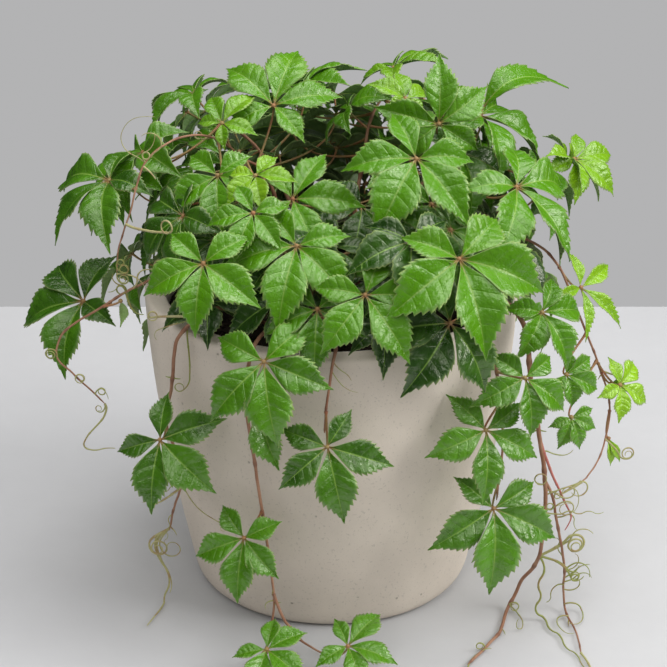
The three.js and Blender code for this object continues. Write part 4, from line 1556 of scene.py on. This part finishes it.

# The leaves that are lighter or darker than their group. The darker tones are painted shade
LEAF_TONES = {
    "leaf_crown_2": 0.72,
    "leaf_crown_3": 0.38,
    "leaf_crown_4": 0.55,
    "leaf_crown_7": 0.7,
    "leaf_crown_8": 0.62,
    "leaf_inner_2": 0.3,
    "leaf_inner_3": 0.2,
    "leaf_right_1": 0.85,
    "leaf_right_3": 0.92,
    "leaf_trailing_2": 0.25,
    "leaf_trailing_3": 0.27,
    "leaf_trailing_7": 0.34,
    "leaf_trailing_8": 0.95,
}

# The leaves whose leaflets are narrow or not open yet: their width as a share of a grown one's
LEAF_WIDTHS = {
    "leaf_left_cream": 0.8,
    "leaf_outer_bud": 0.6,
    "leaf_outer_bud_upper": 0.6,
    "leaf_right_1": 0.9,
    "leaf_right_3": 0.6,
    "leaf_top_arch": 0.66,
}

# The leaves that are smaller than the frame's, so that the vine in front of them shows
LEAF_SIZES = {"leaf_inner_3": 0.72}


class CREEPER_OT_leaves(bpy.types.Operator):
    """Makes the frame's leaves with their toothed leaflets"""

    bl_idname = "creeper.leaves"
    bl_label = "Leaves"

    def execute(self, context):
        for node in LEAF_NODES:
            hub, face, arrows, foot = read_leaf(node)
            arrows = [arrow * LEAF_SIZES.get(node, 1.0) for arrow in arrows]
            near = min(STEM_SPOTS, key=lambda spot: (spot - foot).length)
            foot = near if (near - foot).length < FOOT_REACH else foot
            tone = LEAF_TONES.get(node, GROUP_TONES[node.split("_")[1]])
            piece = leaf_piece(node + "_blades", hub, face, arrows, foot, tone, context.scene)
            settle(piece, "leaf", node)
        return {"FINISHED"}


# Each leaflet's angle from the end one and its length as a share of the end one's
LEAFLETS = [(-122, 0.66), (-62, 0.9), (0, 1.0), (62, 0.9), (122, 0.66)]
ANGLE_SPREAD = 9
LENGTH_SPREAD = 0.1

# A smaller number lets a stalk reach further for a stem that lies straight behind its leaf
STALK_CHOICE = 1.6

# Stalks are at least this long, on small leaves, on other leaves placed one by one, and on the inner ones
SMALL_LEAF = 0.5
SMALL_STALK = 0.008
SHORTEST_STALK = 0.016
INNER_STALK = 0.014


def leaflet_arrows(face, end, size, count, spread, pick):
    """The leaflets' arrows. A young leaf's are fewer, or drawn together by a small spread."""
    first = (len(LEAFLETS) - count) // 2
    arrows = []
    for angle, share in LEAFLETS[first : first + count]:
        turn = math.radians((angle + pick.uniform(-ANGLE_SPREAD, ANGLE_SPREAD)) * spread)
        length = size * share * (1 + pick.uniform(-LENGTH_SPREAD, LENGTH_SPREAD))
        arrows.append((end * math.cos(turn) + face.cross(end) * math.sin(turn)) * length)
    return arrows


def stalk_foot(hub, face, end, shortest):
    """The place on a near stem that lies best behind the leaf, and no nearer than the shortest stalk."""
    ahead = (face + end).normalized()

    def cost(point):
        away = hub - point
        return away.length * (STALK_CHOICE - away.normalized().dot(ahead))

    return min((spot for spot in STEM_SPOTS if (hub - spot).length > shortest), key=cost)


# Leaves that the frame leaves out: azimuth, reach, level, size, turn, tilt, swing, leaflets, spread, tone.
# The low tones of the inner and behind leaves are painted shade
MORE_LEAVES = {
    "small_bright": (233, 0.63, 1.66, 0.62, 30, 55, 20, 5, 1.0, 0.85),
    "front_shaded": (294, 0.7, 1.42, 0.85, 60, 45, -10, 5, 1.0, 0.3),
    "top_small": (19, 0.41, 1.83, 0.6, 160, 50, -70, 5, 1.0, 0.75),
    "top_arch": (8, 0.79, 1.78, 1.5, 142, 46, -122, 1, 1.0, 0.5),
    "right_bright": (17, 1.38, 1.47, 0.82, 35, 42, -75, 5, 0.9, 0.82),
    "right_low_small": (344, 1.33, 0.63, 0.55, 20, 25, -60, 5, 0.7, 0.5),
    "right_low_leaf": (348, 1.28, 0.75, 0.62, 60, 25, -55, 5, 0.9, 0.5),
    "outer_bud": (357, 1.53, 0.47, 0.5, 25, 15, -70, 2, 0.3, 1.0),
    "outer_bud_upper": (358, 1.53, 0.66, 0.36, 60, 30, -50, 3, 0.5, 1.0),
    "front_single": (251, 1.1, 0.86, 0.98, 25, 22, 5, 1, 1.0, 0.45),
    "inner_right": (332, 0.58, 1.46, 0.95, 0, 45, -30, 5, 1.0, 0.25),
    "inner_top": (0, 0.66, 1.62, 0.95, -20, 50, -40, 5, 1.0, 0.2),
    "inner_centre": (311, 0.24, 1.42, 0.95, -30, 50, -20, 5, 1.0, 0.15),
    "crown_behind": (75, 0.35, 1.72, 0.9, 150, 50, 100, 5, 1.0, 0.35),
    "top_behind": (110, 0.5, 1.78, 0.95, -150, 60, 60, 5, 1.0, 0.55),
    "right_behind": (25, 0.9, 1.5, 1.0, 30, 45, -20, 5, 1.0, 0.3),
    "left_behind": (165, 0.75, 1.5, 1.05, 0, 50, 20, 5, 1.0, 0.3),
    "left_cream": (203, 1.18, 1.07, 0.38, 10, 15, 215, 1, 1.0, 0.8),
}

# The leaves under and behind those: how many, the azimuths, reaches, levels, sizes, tilts and tones. Their
# low tones are painted shade, darkest for the soil and under leaves
LAYERS = {
    "soil_leaf": (22, (0, 360), (0.35, 0.98), (1.06, 1.2), (0.75, 1.05), (40, 75), (0.0, 0.2)),
    "under_leaf": (34, (0, 360), (0.3, 0.95), (1.22, 1.5), (0.8, 1.1), (30, 65), (0.05, 0.3)),
    "dome_leaf": (26, (10, 175), (0.3, 1.12), (1.2, 1.75), (0.9, 1.15), (30, 65), (0.3, 0.6)),
    "skirt_leaf": (14, (15, 170), (1.06, 1.22), (0.72, 1.1), (0.85, 1.1), (12, 40), (0.35, 0.6)),
}
GOLDEN_SHARE = 0.618034
TRIES = 40

# How far such a leaf may be off its azimuth, and may swing and turn, in degrees
AZIMUTH_SPREAD = 14
SWING_SPREAD = 35
TURN_SPREAD = 60

# A leaflet's flat stand-in, as shares of its length: half its width, where that is and how far it's lifted
# there. The last is its tip's fall, as a share of that lift
STAR_HALF_WIDTH = 0.24
STAR_MIDDLE = 0.5
STAR_LIFT = 0.1
STAR_FALL = 1.4

# A leaf over the pot stays this far above the rim, or this far in from its outer edge
OVER_RIM = 0.002
OFF_WALL = 0.014


class Canopy:
    """The leaves that are already there, as flat stars, so that a new leaf finds a clear place."""

    def __init__(self):
        self.points = []
        self.faces = []

    def star(self, hub, face, arrows):
        points, faces = [hub], []
        for arrow in arrows:
            side = face.cross(arrow) * STAR_HALF_WIDTH
            lift = face * (STAR_LIFT * arrow.length)
            middle = hub + arrow * STAR_MIDDLE
            first = len(points)
            points += [middle - side + lift, hub + arrow - lift * STAR_FALL, middle + side + lift]
            faces += [(0, first, first + 2), (first, first + 1, first + 2)]
        return points, faces

    def add(self, points, faces):
        start = len(self.points)
        self.points += points
        self.faces += [tuple(start + i for i in corners) for corners in faces]

    def is_clear(self, points, faces):
        there = BVHTree.FromPolygons(self.points, self.faces)
        return not BVHTree.FromPolygons(points, faces).overlap(there)


class CREEPER_OT_more_leaves(bpy.types.Operator):
    """Makes the small, young and inner leaves, and fills the crown behind them"""

    bl_idname = "creeper.more_leaves"
    bl_label = "More Leaves"

    def execute(self, context):
        size = context.scene.creeper_leaf.length
        canopy = Canopy()
        for node in LEAF_NODES:
            hub, face, arrows, _ = read_leaf(node)
            canopy.add(*canopy.star(hub, face, arrows))
        for line, radius in STEMS.values():
            for a, b in zip(line, line[1:]):
                canopy.add([a, b, b + Vector((0, 0, radius))], [(0, 1, 2)])
        for name, row in MORE_LEAVES.items():
            azimuth, reach, level, scale, turn, tilt, swing, count, spread, tone = row
            face, end = leaf_axes(azimuth + swing, turn, tilt)
            arrows = leaflet_arrows(face, end, scale * size, count, spread, random.Random(name))
            hub = place(azimuth, reach, level)
            canopy.add(*canopy.star(hub, face, arrows))
            foot = stalk_foot(hub, face, end, SMALL_STALK if scale < SMALL_LEAF else SHORTEST_STALK)
            settle(leaf_piece("leaf_" + name, hub, face, arrows, foot, tone, context.scene), "leaf")
        for name, layer in LAYERS.items():
            self.fill(name, layer, size, canopy, context.scene)
        return {"FINISHED"}

    def fill(self, name, layer, size, canopy, scene):
        """Tries places for each leaf of a layer, and leaves it out where none is clear."""
        count, azimuths, reaches, levels, sizes, tilts, tones = layer
        pick = random.Random(name)
        for i in range(count):
            round_share = (i * GOLDEN_SHARE) % 1
            for _ in range(TRIES):
                azimuth = azimuths[0] + round_share * (azimuths[1] - azimuths[0])
                azimuth += pick.uniform(-AZIMUTH_SPREAD, AZIMUTH_SPREAD)
                swing = pick.uniform(-SWING_SPREAD, SWING_SPREAD)
                turn = pick.uniform(-TURN_SPREAD, TURN_SPREAD)
                face, end = leaf_axes(azimuth + swing, turn, pick.uniform(*tilts))
                hub = place(azimuth, pick.uniform(*reaches), pick.uniform(*levels))
                arrows = leaflet_arrows(face, end, pick.uniform(*sizes) * size, 5, 1.0, pick)
                points, faces = canopy.star(hub, face, arrows)
                if self.inside(points) and canopy.is_clear(points, faces):
                    canopy.add(points, faces)
                    foot = stalk_foot(hub, face, end, INNER_STALK)
                    tone = pick.uniform(*tones)
                    label = f"{name}_{i + 1}"
                    settle(leaf_piece(label, hub, face, arrows, foot, tone, scene, fine=False), "leaf")
                    break

    def inside(self, points):
        """Whether a leaf stays within the plant's box, over the soil and off the pot's wall."""
        low, high = CAD_BOX
        for point in points:
            if any(not low[i] < point[i] < high[i] for i in range(3)):
                return False
            if point.xy.length < RIM_RADIUS and point.z < POT_HEIGHT + OVER_RIM:
                if point.xy.length > RIM_RADIUS - OFF_WALL or point.z < SOIL_TOP:
                    return False
        return True


# ---- Stage ----

# Each lamp's place and its width across
KEY_LAMP = ((1.6, -0.45, 1.2), 1.15)
SKY_LAMP = ((0.15, 0.35, 2.0), 1.3)
FILL_LAMP = ((-0.15, -1.25, 2.3), 2.0)
SENSOR_WIDTH = 36
CAMERA_SHIFT = 0.003


class CREEPER_OT_stage(bpy.types.Operator):
    """Makes the table, the lamps and the camera"""

    bl_idname = "creeper.stage"
    bl_label = "Stage"

    def execute(self, context):
        stage = context.scene.creeper_stage
        self.make_table(stage)
        self.make_room(context.scene, stage)
        self.make_lamp("key_lamp", *KEY_LAMP, stage.key_power)
        self.make_lamp("sky_lamp", *SKY_LAMP, stage.sky_power)
        self.make_lamp("fill_lamp", *FILL_LAMP, stage.fill_power)
        camera = bpy.data.objects.new("camera", bpy.data.cameras.new("camera"))
        camera.location = stage.camera_place
        camera.rotation_euler = (stage.camera_tilt, 0, 0)
        camera.data.lens = stage.lens
        camera.data.sensor_width = SENSOR_WIDTH
        camera.data.shift_x = CAMERA_SHIFT
        context.scene.collection.objects.link(camera)
        context.scene.camera = camera
        return {"FINISHED"}

    def make_table(self, stage):
        half = stage.table_size / 2
        corners = [(-half, -half, 0), (half, -half, 0), (half, half, 0), (-half, half, 0)]
        mesh = bpy.data.meshes.new("table")
        mesh.from_pydata(corners, [], [(0, 1, 2, 3)])
        mesh.materials.append(FINISHES["table"])
        new_piece("table", mesh)

    def make_room(self, scene, stage):
        """The plain wall all round. The camera sees its own colour, and glossy surfaces mirror it dimly."""
        world = bpy.data.worlds.new("room")
        world.use_nodes = True
        draw = Drawing(world.node_tree)
        ray = draw.tree.nodes.new("ShaderNodeLightPath").outputs
        lit = draw.math("MULTIPLY_ADD", ray["Is Camera Ray"], 1.0 - stage.room_light, stage.room_light)
        mirrored = draw.math("MULTIPLY", ray["Is Glossy Ray"], stage.room_light - stage.room_gloss)
        strength = draw.math("SUBTRACT", lit, mirrored)
        background = world.node_tree.nodes["Background"]
        background.inputs["Color"].default_value = (*stage.room, 1)
        draw.feed(background.inputs["Strength"], strength)
        scene.world = world

    def make_lamp(self, name, spot, size, power):
        lamp = bpy.data.objects.new(name, bpy.data.lights.new(name, "AREA"))
        lamp.data.shape = "DISK"
        lamp.data.size = size
        lamp.data.energy = power
        lamp.location = spot
        aim = Vector((0, 0, POT_HEIGHT)) - Vector(spot)
        lamp.rotation_euler = aim.to_track_quat("-Z", "Y").to_euler()
        bpy.context.scene.collection.objects.link(lamp)


# ---- Panel and registration ----


class CREEPER_PT_panel(bpy.types.Panel):
    """Lists the pieces and their settings"""

    bl_idname = "CREEPER_PT_panel"
    bl_label = "Potted Creeper"
    bl_space_type = "VIEW_3D"
    bl_region_type = "UI"
    bl_category = "Creeper"

    def draw(self, context):
        for operator in OPERATORS:
            self.layout.operator(operator.bl_idname)
        for name in SETTINGS:
            group = getattr(context.scene, name)
            box = self.layout.box()
            for label in group.__annotations__:
                box.prop(group, label)


SETTINGS = {
    "creeper_pot": PotSettings,
    "creeper_leaf": LeafSettings,
    "creeper_stem": StemSettings,
    "creeper_stage": StageSettings,
}
OPERATORS = (
    CREEPER_OT_stage,
    CREEPER_OT_pot,
    CREEPER_OT_soil,
    CREEPER_OT_stems,
    CREEPER_OT_tendrils,
    CREEPER_OT_leaves,
    CREEPER_OT_more_leaves,
)


def register():
    for made in (*SETTINGS.values(), *OPERATORS, CREEPER_PT_panel):
        bpy.utils.register_class(made)
    for name, group in SETTINGS.items():
        setattr(bpy.types.Scene, name, bpy.props.PointerProperty(type=group))


def unregister():
    for name in SETTINGS:
        delattr(bpy.types.Scene, name)
    for made in (CREEPER_PT_panel, *reversed(OPERATORS), *reversed(SETTINGS.values())):
        bpy.utils.unregister_class(made)


def main():
    register()
    scene = bpy.context.scene
    scene.view_settings.view_transform = "Standard"
    make_finishes(scene)
    bpy.ops.creeper.stage()
    bpy.ops.creeper.pot()
    bpy.ops.creeper.soil()
    bpy.ops.creeper.stems()
    bpy.ops.creeper.tendrils()
    bpy.ops.creeper.leaves()
    bpy.ops.creeper.more_leaves()


if __name__ == "__main__":
    main()
